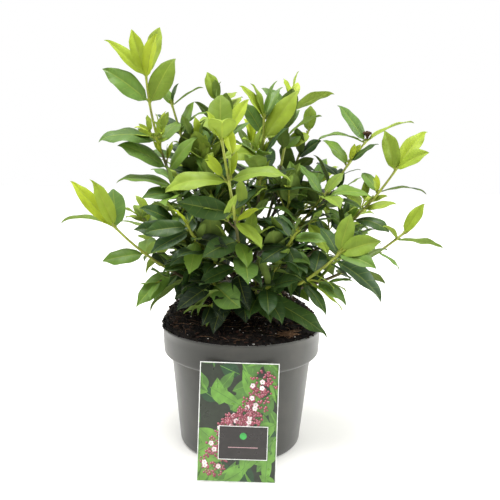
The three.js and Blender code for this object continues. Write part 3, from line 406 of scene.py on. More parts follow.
              leaf(26, -14, -25, 90, 12, 48, 0.17, "deep"), leaf(24, -70, -38, 40, 15, 15, 0.46),
              leaf(18, -50, -33, 46, 15, 30, 0.5), leaf(30, 10, 34, 44, 20, 10),
          ]),
    shoot("left_foot", "trunk", 13, (-66, 8, 212), sweep=0.7, rise=0.3, leafy=0,
          pairs_from=14, roll=15, size=46, tones=("deep", "shade", "shade"),
          leaves=[
              leaf(1, -150, 20, 36, 15, 35, 0.4), leaf(2, -143, -36, 40, 15, 30, 0.42),
              leaf(4, -109, -44, 46, 15, 30, 0.42), leaf(3, 130, 20, 44, 20, 10),
          ]),
    shoot("front_foot", "trunk", 22, (-6, -66, 226), sweep=0.7, rise=0.4, leafy=0,
          pairs_from=48, roll=10, size=44, tones=("deep", "shade", "shade"),
          leaves=[
              leaf(2, -157, 35, 30, 10, 30, 0.46), leaf(2, -30, 44, 32, 10, 30, 0.46),
              leaf(6, -158, -22, 46, 20, 30, 0.42), leaf(12, -45, -12, 42, 20, 25, 0.46),
              leaf(16, -70, -51, 42, 15, 20, 0.48), leaf(26, -73, -43, 44, 15, 15, 0.44),
              leaf(41, -75, -38, 54, 15, 10, 0.5), leaf(35, -122, -34, 54, 15, 20, 0.46),
          ]),
    shoot("left_front_foot", "trunk", 21, (-58, -42, 222), sweep=0.7, rise=0.4, leafy=0,
          pairs_from=34, roll=55, size=48, tones=("deep", "shade", "shade"),
          leaves=[
              leaf(1, -138, 42, 34, 10, 30, 0.44), leaf(1, -144, -8, 36, 15, 35, 0.44),
              leaf(3, -107, -62, 42, 10, 50, 0.36), leaf(12, -78, -37, 38, 15, 20, 0.44),
              leaf(24, -129, -27, 48, 15, 35, 0.42), leaf(12, -38, 18, 40, 15, 30, 0.46),
              leaf(5, 80, 30, 42, 20, 10),
          ]),
    shoot("right_front_foot", "trunk", 20, (58, -34, 226), sweep=0.7, rise=0.4, leafy=0,
          pairs_from=36, roll=25, size=48, tones=("deep", "shade", "shade"),
          leaves=[
              leaf(1, -50, 45, 36, 10, 30, 0.4), leaf(1, -31, -23, 40, 15, 30, 0.42),
              leaf(4, -97, -47, 42, 10, 40, 0.36), leaf(12, -123, -36, 46, 10, 40, 0.38),
              leaf(24, -62, -25, 45, 15, 25, 0.44), leaf(6, 70, 30, 42, 20, 10),
          ]),
    shoot("right_foot", "trunk", 12, (70, 12, 214), sweep=0.7, rise=0.3, bow=8, leafy=0,
          pairs_from=18, roll=50, size=46, tones=("deep", "shade", "shade"),
          leaves=[
              leaf(1, -19, 8, 38, 15, 35, 0.42), leaf(1, -37, -28, 42, 15, 35, 0.4),
              leaf(7, -54, -38, 48, 15, 30, 0.36), leaf(11, -75, -36, 50, 15, 20, 0.4),
              leaf(4, 60, 25, 42, 20, 10),
          ]),
]

NODE_NAMES = ["trunk", *(f"bough_{row['name']}" for row in SHOOTS if row["leafy"]),
              *(f"leaves_{row['name']}" for row in SHOOTS)]


def colour(red, green, blue):
    """Linear colour from the 0 to 255 values that a screen shows."""
    shares = [value / 255 for value in (red, green, blue)]
    return tuple(s / 12.92 if s <= 0.04045 else ((s + 0.055) / 1.055) ** 2.4 for s in shares)


def tint(name, description, screen):
    """A colour that the user can change."""
    return bpy.props.FloatVectorProperty(name=name, description=description, default=colour(*screen),
                                         subtype="COLOR", size=3, min=0.0, max=1.0)


def span(name, description, default):
    """A length in metres that the user can change."""
    return bpy.props.FloatProperty(name=name, description=description, default=default, min=0.0,
                                   subtype="DISTANCE", unit="LENGTH")


def share(name, description, default):
    """A share between nothing and all of something."""
    return bpy.props.FloatProperty(name=name, description=description, default=default, min=0.0, max=1.0,
                                   subtype="FACTOR")


def amount(name, description, default):
    """How many small things are made."""
    return bpy.props.IntProperty(name=name, description=description, default=default, min=0)


def picked(settings, *names):
    """Colours of a group of settings, as plain values."""
    return [tuple(getattr(settings, name)) for name in names]


class LaurustinusLeaves(bpy.types.PropertyGroup):
    """Colours and gloss of the foliage."""
    lime: tint("Lime", "Newest leaves at the tips of the outer shoots", (143, 162, 40))
    fresh: tint("Fresh", "Young leaves that have spread but not yet darkened", (119, 141, 40))
    green: tint("Green", "Leaves of this year's growth", (88, 118, 44))
    deep: tint("Deep", "Leathery older leaves", (47, 73, 30))
    # Shade is the oldest leaves' colour made darker still as painted shade, for leaves low inside the
    # shrub.
    shade: tint("Shade", "Oldest leaves, low inside the shrub", (20, 37, 14))
    rib: tint("Midrib", "Pale midrib and leaf stalk", (140, 152, 60))
    # The underside is pale by its own colour, and paler still as painted light shining through the thin
    # leaf.
    under: tint("Underside", "Matt pale underside of a leaf", (128, 148, 62))
    gloss: share("Roughness", "How matt the upper side of an older leaf is", 0.48)


class LaurustinusStems(bpy.types.PropertyGroup):
    """Colours of stems, bark, buds and the dried flower head."""
    young: tint("Young stem", "Stems of this year", (142, 152, 50))
    sunny: tint("Sunny side", "Purple-brown upper side of the stems", (66, 44, 30))
    older: tint("Older stem", "Stems of last year, with a brown sunny side", (84, 82, 36))
    bark: tint("Bark", "Woody foot of the shrub", (62, 48, 34))
    bud: tint("Bud", "Folded leaves of a resting tip", (122, 132, 30))
    dried: tint("Dried flowers", "Old flower head", (82, 60, 46))


class LaurustinusPot(bpy.types.PropertyGroup):
    """Size and plastic of the nursery pot."""
    rim_radius: span("Rim radius", "Outer radius of the rim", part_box("pot")[1].x)
    height: span("Height", "Height of the pot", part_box("pot")[1].z)
    collar_height: span("Collar", "Height of the wide collar below the rim", 0.030)
    foot_radius: span("Foot radius", "Outer radius just above the foot", 0.073)
    plastic: tint("Plastic", "Grey plastic of the pot", (50, 50, 46))
    dust: tint("Dust", "Dried water marks and dust on the plastic", (70, 68, 63))


class LaurustinusPeat(bpy.types.PropertyGroup):
    """Colours and crumbs of the root ball."""
    dark: tint("Dark peat", "Moist peat", (13, 10, 8))
    brown: tint("Brown peat", "Drier crumbs", (24, 17, 12))
    red: tint("Red peat", "Bits of bark and root", (45, 28, 20))
    fibre: tint("Fibre", "Fine roots and fibres", (98, 73, 50))
    perlite: tint("Perlite", "White specks of perlite", (190, 188, 180))
    crumbs: amount("Crumbs", "Crumbs on the surface", 3200)
    fibres: amount("Fibres", "Fibres on the surface", 520)
    specks: amount("Specks", "White specks on the surface", 150)


class LaurustinusCard(bpy.types.PropertyGroup):
    """Size and print of the picture card."""
    width: span("Width", "Width of the card", 0.083)
    height: span("Height", "Height of the card", 0.1255)
    paper: tint("Paper", "White border of the card", (226, 228, 224))
    ground: tint("Ground", "Dark green behind the printed leaves", (34, 42, 28))
    light_leaf: tint("Light leaf", "Brightest printed leaf", (98, 146, 54))
    dark_leaf: tint("Dark leaf", "Darkest printed leaf", (32, 66, 36))
    blossom: tint("Blossom", "Printed petals", (226, 206, 208))
    bud: tint("Printed bud", "Printed flower buds", (152, 66, 82))
    panel: tint("Panel", "Dark empty panel", (34, 29, 28))
    tab: tint("Tab", "Small green tab", (52, 158, 68))


class LaurustinusStage(bpy.types.PropertyGroup):
    """Camera, light and floor."""
    eye: bpy.props.FloatVectorProperty(name="Camera", description="Place of the camera", size=3,
                                       default=(0.0083, -0.637, 0.317), subtype="TRANSLATION",
                                       unit="LENGTH")
    pitch: bpy.props.FloatProperty(name="Pitch", description="How far the camera looks down",
                                   default=math.radians(7.66), subtype="ANGLE", unit="ROTATION")
    roll: bpy.props.FloatProperty(name="Roll", description="How far the camera leans",
                                  default=math.radians(1.04), subtype="ANGLE", unit="ROTATION")
    lens: bpy.props.FloatProperty(name="Lens", description="Focal length in millimetres", default=38.88,
                                  subtype="DISTANCE_CAMERA")
    floor: tint("Floor", "Pale floor", (250, 249, 245))
    daylight: share("Daylight", "Strength of the even white light from the back and sides", 1.0)
    front_light: share("Front light", "Strength of the light from the front side", 0.36)
    key_power: bpy.props.FloatProperty(name="Key light", description="Power of the soft key light",
                                       default=56.0, subtype="POWER", unit="POWER")


SETTINGS = {
    "laurustinus_leaves": LaurustinusLeaves,
    "laurustinus_stems": LaurustinusStems,
    "laurustinus_pot": LaurustinusPot,
    "laurustinus_peat": LaurustinusPeat,
    "laurustinus_card": LaurustinusCard,
    "laurustinus_stage": LaurustinusStage,
}


class Dice:
    """Repeatable random numbers between 0 and 1, the same as in the part's source."""

    def __init__(self, seed):
        self.state = seed

    def __call__(self):
        self.state = (self.state * 1664525 + 1013904223) % 4294967296
        return self.state / 4294967296


def unit(vector):
    """The vector with length one."""
    return vector / np.linalg.norm(vector)


def spun(vector, axis, degrees):
    """The vector turned about an axis of length one."""
    angle = math.radians(degrees)
    across, kept = np.cross(axis, vector), axis * (axis @ vector)
    return vector * math.cos(angle) + across * math.sin(angle) + kept * (1 - math.cos(angle))


class Course:
    """A bent line that gives points and directions by distance from its start."""

    def __init__(self, start, bend, end):
        self.ends = [np.array(place, float) for place in (start, bend, end)]
        self.shares = np.linspace(0, 1, 201)
        steps = np.linalg.norm(np.diff(self.at(self.shares), axis=0), axis=1)
        self.reaches = np.concatenate([[0], np.cumsum(steps)])
        self.length = self.reaches[-1]

    def at(self, shares):
        """Points at shares of the curve, from 0 at its start to 1 at its end."""
        t = np.asarray(shares, float)[..., None]
        start, bend, end = self.ends
        return start * (1 - t) ** 2 + bend * 2 * t * (1 - t) + end * t ** 2

    def point(self, distance):
        """Points at distances from the start."""
        return self.at(np.interp(distance, self.reaches, self.shares))

    def direction(self, distance):
        """Directions of length one at distances from the start."""
        t = np.interp(distance, self.reaches, self.shares)[..., None]
        start, bend, end = self.ends
        along = (bend - start) * (1 - t) + (end - bend) * t
        return along / np.linalg.norm(along, axis=-1, keepdims=True)


class Stem:
    """A shoot with its course, its own dice and what grows on it."""

    def __init__(self, order, row, course, from_trunk):
        self.row = row
        self.name = row["name"]
        self.course = course
        self.knuckle = TRUNK_KNUCKLE if from_trunk else BOUGH_KNUCKLE
        self.split = course.length - row["leafy"] if row["leafy"] else self.knuckle
        self.radius = BOUGH_RADIUS if from_trunk else BRANCH_RADIUS
        self.dice = Dice(SHOOT_SEED * (order + 1))
        self.fine_dice = Dice(FINE_SEED * (order + 1))
        self.levels = []
        self.blades = []
        self.twigs = []

    def spot(self, below):
        """Point and direction of the stem at a distance below its tip."""
        distance = np.clip(self.course.length - below, 0, self.course.length)
        return self.course.point(distance), self.course.direction(distance)


def trunk_course():
    """Upright at the soil, then a slight lean."""
    middle = (0, 0, (TRUNK_FOOT[2] + TRUNK_TOP[2]) / 2)
    return Course(TRUNK_FOOT, middle, TRUNK_TOP)


def stem_courses():
    """All shoots, each starting on the trunk or on a shoot before it in the table."""
    courses = {"trunk": trunk_course()}
    stems = []
    for order, row in enumerate(SHOOTS):
        start = courses[row["start"]].point(row["out"])
        end = np.array(row["tip"], float)
        reach = end - start
        sideways = unit(np.array([-reach[1], reach[0], 0.0]))
        bend = start + reach * np.array([row["sweep"], row["sweep"], row["rise"]]) + sideways * row["bow"]
        courses[row["name"]] = Course(start, bend, end)
        stems.append(Stem(order, row, courses[row["name"]], row["start"] == "trunk"))
    return stems


def pointing(heading, lift):
    """Direction with a heading and a lift in degrees."""
    around, up = math.radians(heading), math.radians(lift)
    return np.array([math.cos(up) * math.cos(around), math.cos(up) * math.sin(around), math.sin(up)])


def upper_side(chord, turn):
    """Upper side of a blade: it looks up, then is turned about the blade towards the viewer."""
    skyward = unit(UP - chord * (UP @ chord))
    sideways = np.cross(chord, skyward)
    if sideways @ TO_VIEWER < 0:
        sideways = -sideways
    angle = math.radians(turn)
    return skyward * math.cos(angle) + sideways * math.sin(angle)


def blade(base, chord, length, arch, turn, width, below, measured=False):
    """What a leaf is drawn from."""
    return {"base": base, "chord": chord, "length": length, "arch": arch, "width": width, "below": below,
            "normal": upper_side(chord, turn), "measured": measured, "tone": None}


def across_stem(along, roll):
    """Direction across a stem, in the plane that faces the viewer, rolled about the stem."""
    return spun(unit(np.array([along[2], 0.0, -along[0]])), along, roll)


def ruled_growth(stem):
    """Opposite pairs by the rule, with side twigs, in the same order of draws as the part's source."""
    row, draw = stem.row, stem.dice
    leafy = row["leafy"] or stem.course.length - stem.knuckle - 22
    below, roll, step = row["pairs_from"], row["roll"], 7
    while below < leafy - 8:
        point, along = stem.spot(below)
        stem.levels.append(below)
        for side in (1, -1):
            across = across_stem(along, roll + (draw() - 0.5) * 24) * side
            splay = math.radians(min(OLD_SPLAY, YOUNG_SPLAY + below * SPLAY_PER_MM) + (draw() - 0.5) * 16)
            chord = along * math.cos(splay) + across * math.sin(splay)
            chord[2] -= 0.1 * min(1, below / 80)
            chord = unit(chord)
            length = row["size"] * (0.6 + 0.4 * min(1, below / 30)) * (0.86 + 0.28 * draw())
            form = [10 + 28 * draw(), -30 + 60 * draw(), 0.4 + 0.1 * draw()]
            stem.blades.append(blade(point, chord, length, *form, below))
            chance, reach, tilt = draw(), draw(), draw()
            if below > 24 and chance < SIDE_TWIG_CHANCE:
                angle = math.radians(SIDE_TWIG_ANGLE + 14 * tilt)
                heading = unit(along * math.cos(angle) + across * math.sin(angle))
                stem.twigs.append({"base": point, "direction": heading, "length": 16 + 20 * reach,
                                   "below": below})
        below += step + (draw() - 0.5) * 4
        step = min(PAIR_GAP, step + 10)
        roll += PAIR_TURN


def twig_leaves(side, draw):
    """Small leaves on a side twig: a pair at its tip and, on a long one, a pair lower down."""
    tip = side["base"] + side["direction"] * side["length"]
    levels = [0, side["length"] * 0.42] if side["length"] > 21 else [0]
    blades = []
    for level, below in enumerate(levels):
        point = tip - side["direction"] * (below + 0.6)
        for hand in (1, -1):
            across = across_stem(side["direction"], 20 + 90 * level + 50 * draw()) * hand
            splay = math.radians(22 + 26 * level + 12 * draw())
            chord = unit(side["direction"] * math.cos(splay) + across * math.sin(splay))
            length = (20 + 8 * level) * (0.8 + 0.5 * draw()) * side.get("growth", 1)
            data = blade(point, chord, length, 12, -20 + 50 * draw(), 0.42, side["below"] * 0.3)
            blades.append({**data, "tone": side.get("tone")})
    return blades


def measured_twig(stem, row):
    """Foot, direction and length of a twig or sprig of measured place."""
    return {"base": stem.spot(row["below"])[0], "direction": pointing(row["heading"], row["lift"]),
            "length": row["length"], "below": row["below"]}


def sprig_leaves(side, row):
    """The young pair at the tip of a measured sprig."""
    tip = side["base"] + side["direction"] * (side["length"] - 0.6)
    blades = []
    for hand in (1, -1):
        across = across_stem(side["direction"], 35) * hand
        chord = unit(side["direction"] * math.cos(0.16) + across * math.sin(0.16))
        size = row["size"] * (1 if hand > 0 else 0.86)
        data = blade(tip, chord, size, 6, 70, 0.36, side["below"], measured=True)
        blades.append({**data, "tone": row["tone"]})
    return blades


def fine_growth(stem):
    """Finer side twigs between the ruled ones, each with one or two pairs of small leaves."""
    draw = stem.fine_dice
    leafy = stem.row["leafy"] or stem.course.length - stem.knuckle - 10
    below = FINE_TWIG_FROM
    while below < leafy:
        point, along = stem.spot(below)
        for side in (1, -1):
            chance, turn, reach, tilt = draw(), draw(), draw(), draw()
            inner = math.hypot(point[0], point[1]) < INNER_REACH and point[2] < INNER_HEIGHT
            if chance < (FINE_TWIG_CHANCE if inner else OUTER_TWIG_CHANCE):
                across = across_stem(along, 360 * turn) * side
                angle = math.radians(34 + 20 * tilt)
                heading = unit(along * math.cos(angle) + across * math.sin(angle))
                side_twig = {"base": point, "direction": heading, "length": 14 + 14 * reach,
                             "below": below, "fine": True, "growth": 1.35}
                stem.twigs.append({**side_twig, "blades": twig_leaves(side_twig, draw)})
        below += FINE_TWIG_STEP * (0.8 + 0.4 * draw())


class Crowd:
    """Remembers where leaves are, so that a new one can keep clear of them."""

    def __init__(self):
        self.cells = {}

    @staticmethod
    def samples(data):
        """Points spread over a leaf."""
        across = np.cross(data["chord"], data["normal"])
        half = data["length"] * data["width"] / 2
        points = [data["base"] + data["chord"] * data["length"] * along + across * half * side
                  for along in (0.3, 0.5, 0.7, 0.9) for side in (-0.6, 0, 0.6)]
        return [point + data["normal"] * data["length"] * 0.1 for point in points]

    @staticmethod
    def cell(point):
        """The small cube of space that a point is in."""
        return tuple(int(math.floor(value / CROWD_CELL)) for value in point)

    def add(self, data):
        """Remembers a leaf."""
        for point in self.samples(data):
            self.cells.setdefault(self.cell(point), []).append(point)

    def near(self, point):
        """Whether a leaf is close to a point."""
        x, y, z = self.cell(point)
        around = [self.cells.get((x + i, y + j, z + k), ())
                  for i in (-1, 0, 1) for j in (-1, 0, 1) for k in (-1, 0, 1)]
        return any(np.linalg.norm(point - other) < CROWD_REACH for cell in around for other in cell)

    def takes(self, data):
        """Adds a leaf if there is room for it, and says whether there was."""
        if not data["measured"] and sum(self.near(p) for p in self.samples(data)) > CROWD_LIMIT:
            return False
        self.add(data)
        return True


def dealt_tone(stem, data, draw):
    """Tone of a leaf: dealt out by shoot and age, with some a tone darker and some a tone lighter. Above
    the sunny height any may turn lighter, as painted light.
    """
    tip, middle, low = (TONES.index(tone) for tone in stem.row["tones"])
    below = data["below"]
    tone = tip if below < TIP_REACH else middle if below < MIDDLE_REACH else low
    luck = draw()
    # A lighter tone high in the crown is painted light falling on the top of the shrub.
    lighter = data["base"][2] > PAINTED_SUN_HEIGHT or TONES[tone] in ("deep", "shade")
    shift = -1 if luck < LIGHTER_SHARE and lighter else 1 if luck > 1 - DARKER_SHARE else 0
    return TONES[min(len(TONES) - 1, max(0, tone + shift))]


@functools.lru_cache(maxsize=1)
def grown_shrub():
    """All stems with their twigs and leaves, each leaf with its tone."""
    stems = stem_courses()
    for stem in stems:
        for row in stem.row["leaves"]:
            point, _ = stem.spot(row["below"])
            wide = row["width"] + MEASURED_SPREAD * (BROAD_LEAF - row["width"])
            form = [row["length"], row["arch"], row["turn"], wide, row["below"]]
            data = blade(point, pointing(row["heading"], row["lift"]), *form, measured=True)
            stem.blades.append({**data, "tone": row["tone"]})
            stem.levels.append(row["below"])
        for row in stem.row["twigs"]:
            stem.twigs.append({**measured_twig(stem, row), "tone": row["tone"]})
        ruled_growth(stem)
        for side in stem.twigs:
            side["blades"] = twig_leaves(side, stem.dice)
        for row in stem.row["sprigs"]:
            side = {**measured_twig(stem, row), "fine": True}
            stem.twigs.append({**side, "blades": sprig_leaves(side, row)})
        fine_growth(stem)
    keep_clear(stems)
    return stems


def keep_clear(stems):
    """Measured leaves first, then the ruled ones and the finer twigs, each where there is room."""
    crowd = Crowd()
    for stem in stems:
        for data in stem.blades:
            if data["measured"]:
                crowd.add(data)
    for stem in stems:
        stem.blades = [data for data in stem.blades if data["measured"] or crowd.takes(data)]
    for stem in stems:
        for side in stem.twigs:
            side["blades"] = [data for data in side["blades"] if crowd.takes(data)]
        stem.twigs = [side for side in stem.twigs if side["blades"] or not side.get("fine")]
    for stem in stems:
        for data in stem.blades + [data for side in stem.twigs for data in side["blades"]]:
            tone = dealt_tone(stem, data, stem.fine_dice)
            data["tone"] = data["tone"] or tone


class Pile:
    """Points and faces of many small shapes, gathered into one joined mesh."""

    def __init__(self):
        self.points = []
        self.faces = []
        self.slots = []
        self.count = 0

    def add(self, points, faces, slots=0):
        """Adds a shape: points in millimetres, arrays of faces, and one slot or a slot for each face."""
        for rows in faces:
            self.faces.append(np.asarray(rows) + self.count)
        total = sum(len(rows) for rows in faces)
        self.slots.append(np.broadcast_to(slots, total))
        self.points.append(np.asarray(points, float))
        self.count += len(points)

    def piece(self, name, finishes, smooth=True, sharp_from=None):
        """The joined mesh as a piece of the part, which rides with it."""
        corners = np.concatenate([rows.ravel() for rows in self.faces])
        sizes = np.concatenate([np.full(len(rows), rows.shape[1]) for rows in self.faces])
        mesh = bpy.data.meshes.new(name)
        mesh.vertices.add(self.count)
        mesh.vertices.foreach_set("co", (np.concatenate(self.points) * METRES).ravel())
        mesh.loops.add(len(corners))
        mesh.loops.foreach_set("vertex_index", corners.astype(np.int32))
        mesh.polygons.add(len(sizes))
        starts = np.concatenate([[0], np.cumsum(sizes)[:-1]])
        mesh.polygons.foreach_set("loop_start", starts.astype(np.int32))
        mesh.polygons.foreach_set("material_index", np.concatenate(self.slots).astype(np.int32))
        mesh.polygons.foreach_set("use_smooth", np.full(len(sizes), smooth))
        mesh.update(calc_edges=True)
        if sharp_from is not None:
            mesh.set_sharp_from_angle(angle=math.radians(sharp_from))
        return standing(name, mesh, finishes)


def standing(name, mesh, finishes):
    """A mesh in its place in the scene, with its materials, riding with the part."""
    for finish in finishes:
        mesh.materials.append(finish)
    piece = bpy.data.objects.new(name, mesh)
    bpy.context.scene.collection.objects.link(piece)
    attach(piece, "root")
    return piece


def skinned(rings, foot, head):
    """One closed surface over rings of points, with a middle point at each end."""
    rows, sides = rings.shape[:2]
    ring = np.arange(sides)
    after = np.roll(ring, -1)
    starts = np.arange(rows - 1)[:, None] * sides
    above = starts + sides
    walls = np.stack([starts + ring, starts + after, above + after, above + ring], axis=-1)
    last = (rows - 1) * sides
    ends = [np.stack([after, ring, np.full(sides, rows * sides)], axis=1),
            np.stack([last + ring, last + after, np.full(sides, rows * sides + 1)], axis=1)]
    points = np.concatenate([rings.reshape(-1, 3), [foot, head]])
    return points, [walls.reshape(-1, 4), np.concatenate(ends)]


def tube(line, radii, sides):
    """A stem along a line of points, with a radius at each point."""
    line = np.asarray(line, float)
    radii = np.broadcast_to(radii, len(line))
    along = np.gradient(line, axis=0)
    along /= np.linalg.norm(along, axis=1, keepdims=True)
    side = np.cross(along[0], TO_VIEWER if abs(along[0] @ UP) > 0.8 else UP)
    turns = np.linspace(0, 2 * math.pi, sides, endpoint=False)[:, None]
    rings = []
    for place, heading, radius in zip(line, along, radii):
        side = unit(side - heading * (heading @ side))
        other = np.cross(heading, side)
        rings.append(place + radius * (np.cos(turns) * side + np.sin(turns) * other))
    return skinned(np.array(rings), line[0], line[-1])


def turned(profile, segments):
    """A turned form. The profile of radius and height starts and ends on the axis."""
    angles = np.linspace(0, 2 * math.pi, segments, endpoint=False)
    rings = [np.stack([r * np.cos(angles), r * np.sin(angles), np.full(segments, z)], axis=1)
             for r, z in profile[1:-1]]
    return skinned(np.array(rings), (0, 0, profile[0][1]), (0, 0, profile[-1][1]))


def arc(middle, radius, start, end, steps):
    """Points on an arc in a profile, from one angle to another in degrees."""
    angles = np.radians(np.linspace(start, end, steps))
    return [(middle[0] + radius * math.cos(a), middle[1] + radius * math.sin(a)) for a in angles]


def seed_shape(base, heading, length, radius, sides=7, blunt=0.5):
    """A bud, seed or knob: pointed at the far end and rounded at the foot."""
    shares = np.array([0.02, 0.14, 0.34, 0.58, 0.8, 0.95])
    girth = np.sin(math.pi * shares ** blunt) ** 0.8
    line = np.asarray(base) + np.outer(shares * length, heading)
    return tube(line, radius * girth, sides)


def crumb_form():
    """Points and faces of a rough ball."""
    golden = (1 + math.sqrt(5)) / 2
    points = [(a, b * golden, 0) for a in (-1, 1) for b in (-1, 1)]
    points = np.array(points + [(0, x, y) for x, y, _ in points] + [(y, 0, x) for x, y, _ in points], float)
    points /= np.linalg.norm(points[0])
    faces = [(i, j, k) for i in range(12) for j in range(i + 1, 12) for k in range(j + 1, 12)
             if max(np.linalg.norm(points[i] - points[j]), np.linalg.norm(points[j] - points[k]),
                    np.linalg.norm(points[i] - points[k])) < 1.1]
    outward = []
    for i, j, k in faces:
        normal = np.cross(points[j] - points[i], points[k] - points[i])
        outward.append((i, j, k) if normal @ points[i] > 0 else (i, k, j))
    return points, np.array(outward)


CRUMB_POINTS, CRUMB_FACES = crumb_form()


def sheet_faces(rows, columns, veins):
    """Faces of a closed thin sheet, and for each face whether it is under, rib, upper or vein."""
    row, column = np.mgrid[0:rows - 1, 0:columns - 1]
    corner = (row * columns + column).reshape(-1)
    upper = np.stack([corner, corner + 1, corner + columns + 1, corner + columns], axis=1)
    lower = upper[:, ::-1] + rows * columns
    rib = (column.reshape(-1) == columns // 2 - 1)
    under = rows * columns
    left = np.arange(rows - 1) * columns
    right = left + columns - 1
    foot = np.arange(columns - 1)
    tip = foot + (rows - 1) * columns
    rims = [np.stack([left, left + columns, left + columns + under, left + under], axis=1),
            np.stack([right + columns, right, right + under, right + columns + under], axis=1),
            np.stack([foot + 1, foot, foot + under, foot + 1 + under], axis=1),
            np.stack([tip, tip + 1, tip + 1 + under, tip + under], axis=1)]
    rim = np.concatenate(rims)
    inside = (column.reshape(-1) > 0) & (column.reshape(-1) < columns - 2)
    vein = np.isin(row.reshape(-1), veins) & inside
    slots = np.concatenate([np.where(rib, RIB, np.where(vein, VEIN, UPPER)),
                            np.where(rib, RIB, np.where(vein, UNDER_VEIN, UNDER)), np.full(len(rim), VEIN)])
    return np.concatenate([upper, lower, rim]), slots


def vein_rows():
    """Places of a blade's rows of points, their height between veins, and which strips are veins."""
    places, heights, veins = [0.0], [0.0], []
    for number in range(VEIN_PAIRS):
        middle = (number + 0.55) / (VEIN_PAIRS + 0.45)
        veins.append(len(places))
        places += [middle - VEIN_HALF, middle + VEIN_HALF, middle + 0.5 / (VEIN_PAIRS + 0.45)]
        heights += [0.0, 0.0, 1.0]
    return np.array([*places, 1.0]), np.array([*heights, 0.0]), veins


FULL_ROWS, FULL_HEIGHTS, FULL_VEINS = vein_rows()
SMALL_ROWS = np.linspace(0, 1, SMALL_LEAF_ROWS)
SMALL_HEIGHTS = np.arange(SMALL_LEAF_ROWS) % 2 * 0.6
FULL_SHEET = sheet_faces(len(FULL_ROWS), len(LEAF_COLUMNS), FULL_VEINS)
SMALL_SHEET = sheet_faces(SMALL_LEAF_ROWS, len(SMALL_COLUMNS), [])


def leaf_course(data):
    """Line of the midrib, from inside the stem, over the crest of the arch, to the tip."""
    chord, length = data["chord"], data["length"]
    rise = length / 2 * math.tan(math.radians(data["arch"] / 2))
    crest = data["base"] + chord * length / 2 + data["normal"] * rise
    return Course(data["base"] - chord * LEAF_ROOT_DEPTH, crest, data["base"] + chord * length)


def outline_width(shares, root_power, tip_power):
    """Half width of the blade along it, as a share of the widest place."""
    widest = root_power / (root_power + tip_power)
    most = widest ** root_power * (1 - widest) ** tip_power
    point = 1 - BLADE_POINT * np.clip((shares - 0.76) / 0.2, 0, 1)
    return shares ** root_power * (1 - shares) ** tip_power / most * point


def blade_mood(data, draw):
    """How one leaf differs from the next: its fold, point, waves, twist, bend and droop."""
    length = data["length"]
    young = 1.0 if data["below"] < TIP_REACH else 0.0
    return {
        "fold": math.radians(BLADE_FOLD * (0.3 + 1.0 * draw() + 0.9 * young)),
        "tip_power": BLADE_TIP_POWER + 0.2 * draw(),
        "wave": length * (0.008 + 0.018 * draw()),
        "phase": 2 * math.pi * draw(),
        "twist": math.radians(-26 + 52 * draw()),
        "bend": length * (-0.07 + 0.14 * draw()),
        "droop": length * (0.02 + 0.05 * draw()),
    }


def blade_relief(u, v, wide, bulges, length, mood):
    """Height of a blade over its midrib: folded, crowned, veined, waved and hooked at the tip."""
    aside = np.abs(u)
    bulge = bulges[:, None] * np.minimum(1, aside * 4) * (1 - aside ** 2) * np.sin(math.pi * v)
    ripple = np.sin(2 * math.pi * 2.1 * v + mood["phase"] + np.where(u > 0, 2.0, 0)) * np.sin(math.pi * v)
    height = wide * aside * math.sin(mood["fold"]) - wide * 0.16 * aside ** 3
    height += length * VEIN_RELIEF * bulge
    height += mood["wave"] * aside ** 1.5 * ripple
    height -= np.where(aside < 0.1, length * RIB_RELIEF * (1 - v), 0)
    height -= mood["droop"] * v ** 3 + length * TIP_HOOK * np.clip(v - 0.84, 0, 1) ** 2
    return height


def twisted(across, height, v, mood):
    """The blade's two cross measures turned more and more along it, and bent to one side."""
    turn = mood["twist"] * v
    return (across * np.cos(turn) - height * np.sin(turn) + mood["bend"] * v ** 2.2,
            across * np.sin(turn) + height * np.cos(turn))


def leaf_blade(data, draw):
    """Closed blade of a leaf: folded along the midrib, arched, waved, with veins swept to the tip."""
    small = data["length"] < SMALL_LEAF
    rows, bulges, columns = ((SMALL_ROWS, SMALL_HEIGHTS, SMALL_COLUMNS) if small
                             else (FULL_ROWS, FULL_HEIGHTS, LEAF_COLUMNS))
    length, half = data["length"], data["length"] * data["width"] / 2
    mood = blade_mood(data, draw)
    u, v = columns[None, :], rows[:, None]
    aside = np.abs(u)
    shares = np.clip(v + VEIN_SWEEP * aside * 4 * v * (1 - v), 0, 1)
    edge = min(1, length / 50) * (0.8 - 0.62 * shares)
    wide = np.maximum(half * outline_width(shares, BLADE_ROOT_POWER, mood["tip_power"]), edge)
    height = blade_relief(u, v, wide, bulges, length, mood)
    across, height = twisted(wide * u * math.cos(mood["fold"]), height, v, mood)
    course = leaf_course(data)
    reach = PETIOLE_SHARE + (1 - PETIOLE_SHARE) * shares
    start, crest, end = course.ends
    along = (crest - start) * (1 - reach[..., None]) + (end - crest) * reach[..., None]
    along /= np.linalg.norm(along, axis=-1, keepdims=True)
    sideways = np.cross(data["chord"], data["normal"])
    normal = np.cross(sideways, along)
    upper = course.at(reach) + across[..., None] * sideways + height[..., None] * normal
    rib = np.where(aside < 0.1, length * RIB_RELIEF * 1.1 * (1 - v), 0)
    thick = LEAF_THICKNESS * (1 - 0.45 * aside) + rib
    lower = upper - normal * thick[..., None]
    points = np.concatenate([upper.reshape(-1, 3), lower.reshape(-1, 3)])
    faces, slots = SMALL_SHEET if small else FULL_SHEET
    return points, [faces], slots


def leaf_stalk(data):
    """Short stalk of a leaf, from inside the stem to under the foot of the blade."""
    course = leaf_course(data)
    shares = np.linspace(0, PETIOLE_SHARE + 0.05, 4)
    thick = min(0.95, 0.35 + data["length"] * 0.011)
    line = course.at(shares) - data["normal"] * np.array([0, 0, 0.25, 0.5])[:, None]
    return tube(line, thick * np.array([1.25, 1, 0.85, 0.5]), 6)


def set_range(node, low, high, first, last):
    """Sets a node that turns values from low to high into values from first to last."""
    for name, value in (("From Min", low), ("From Max", high), ("To Min", first), ("To Max", last)):
        node.inputs[name].default_value = value


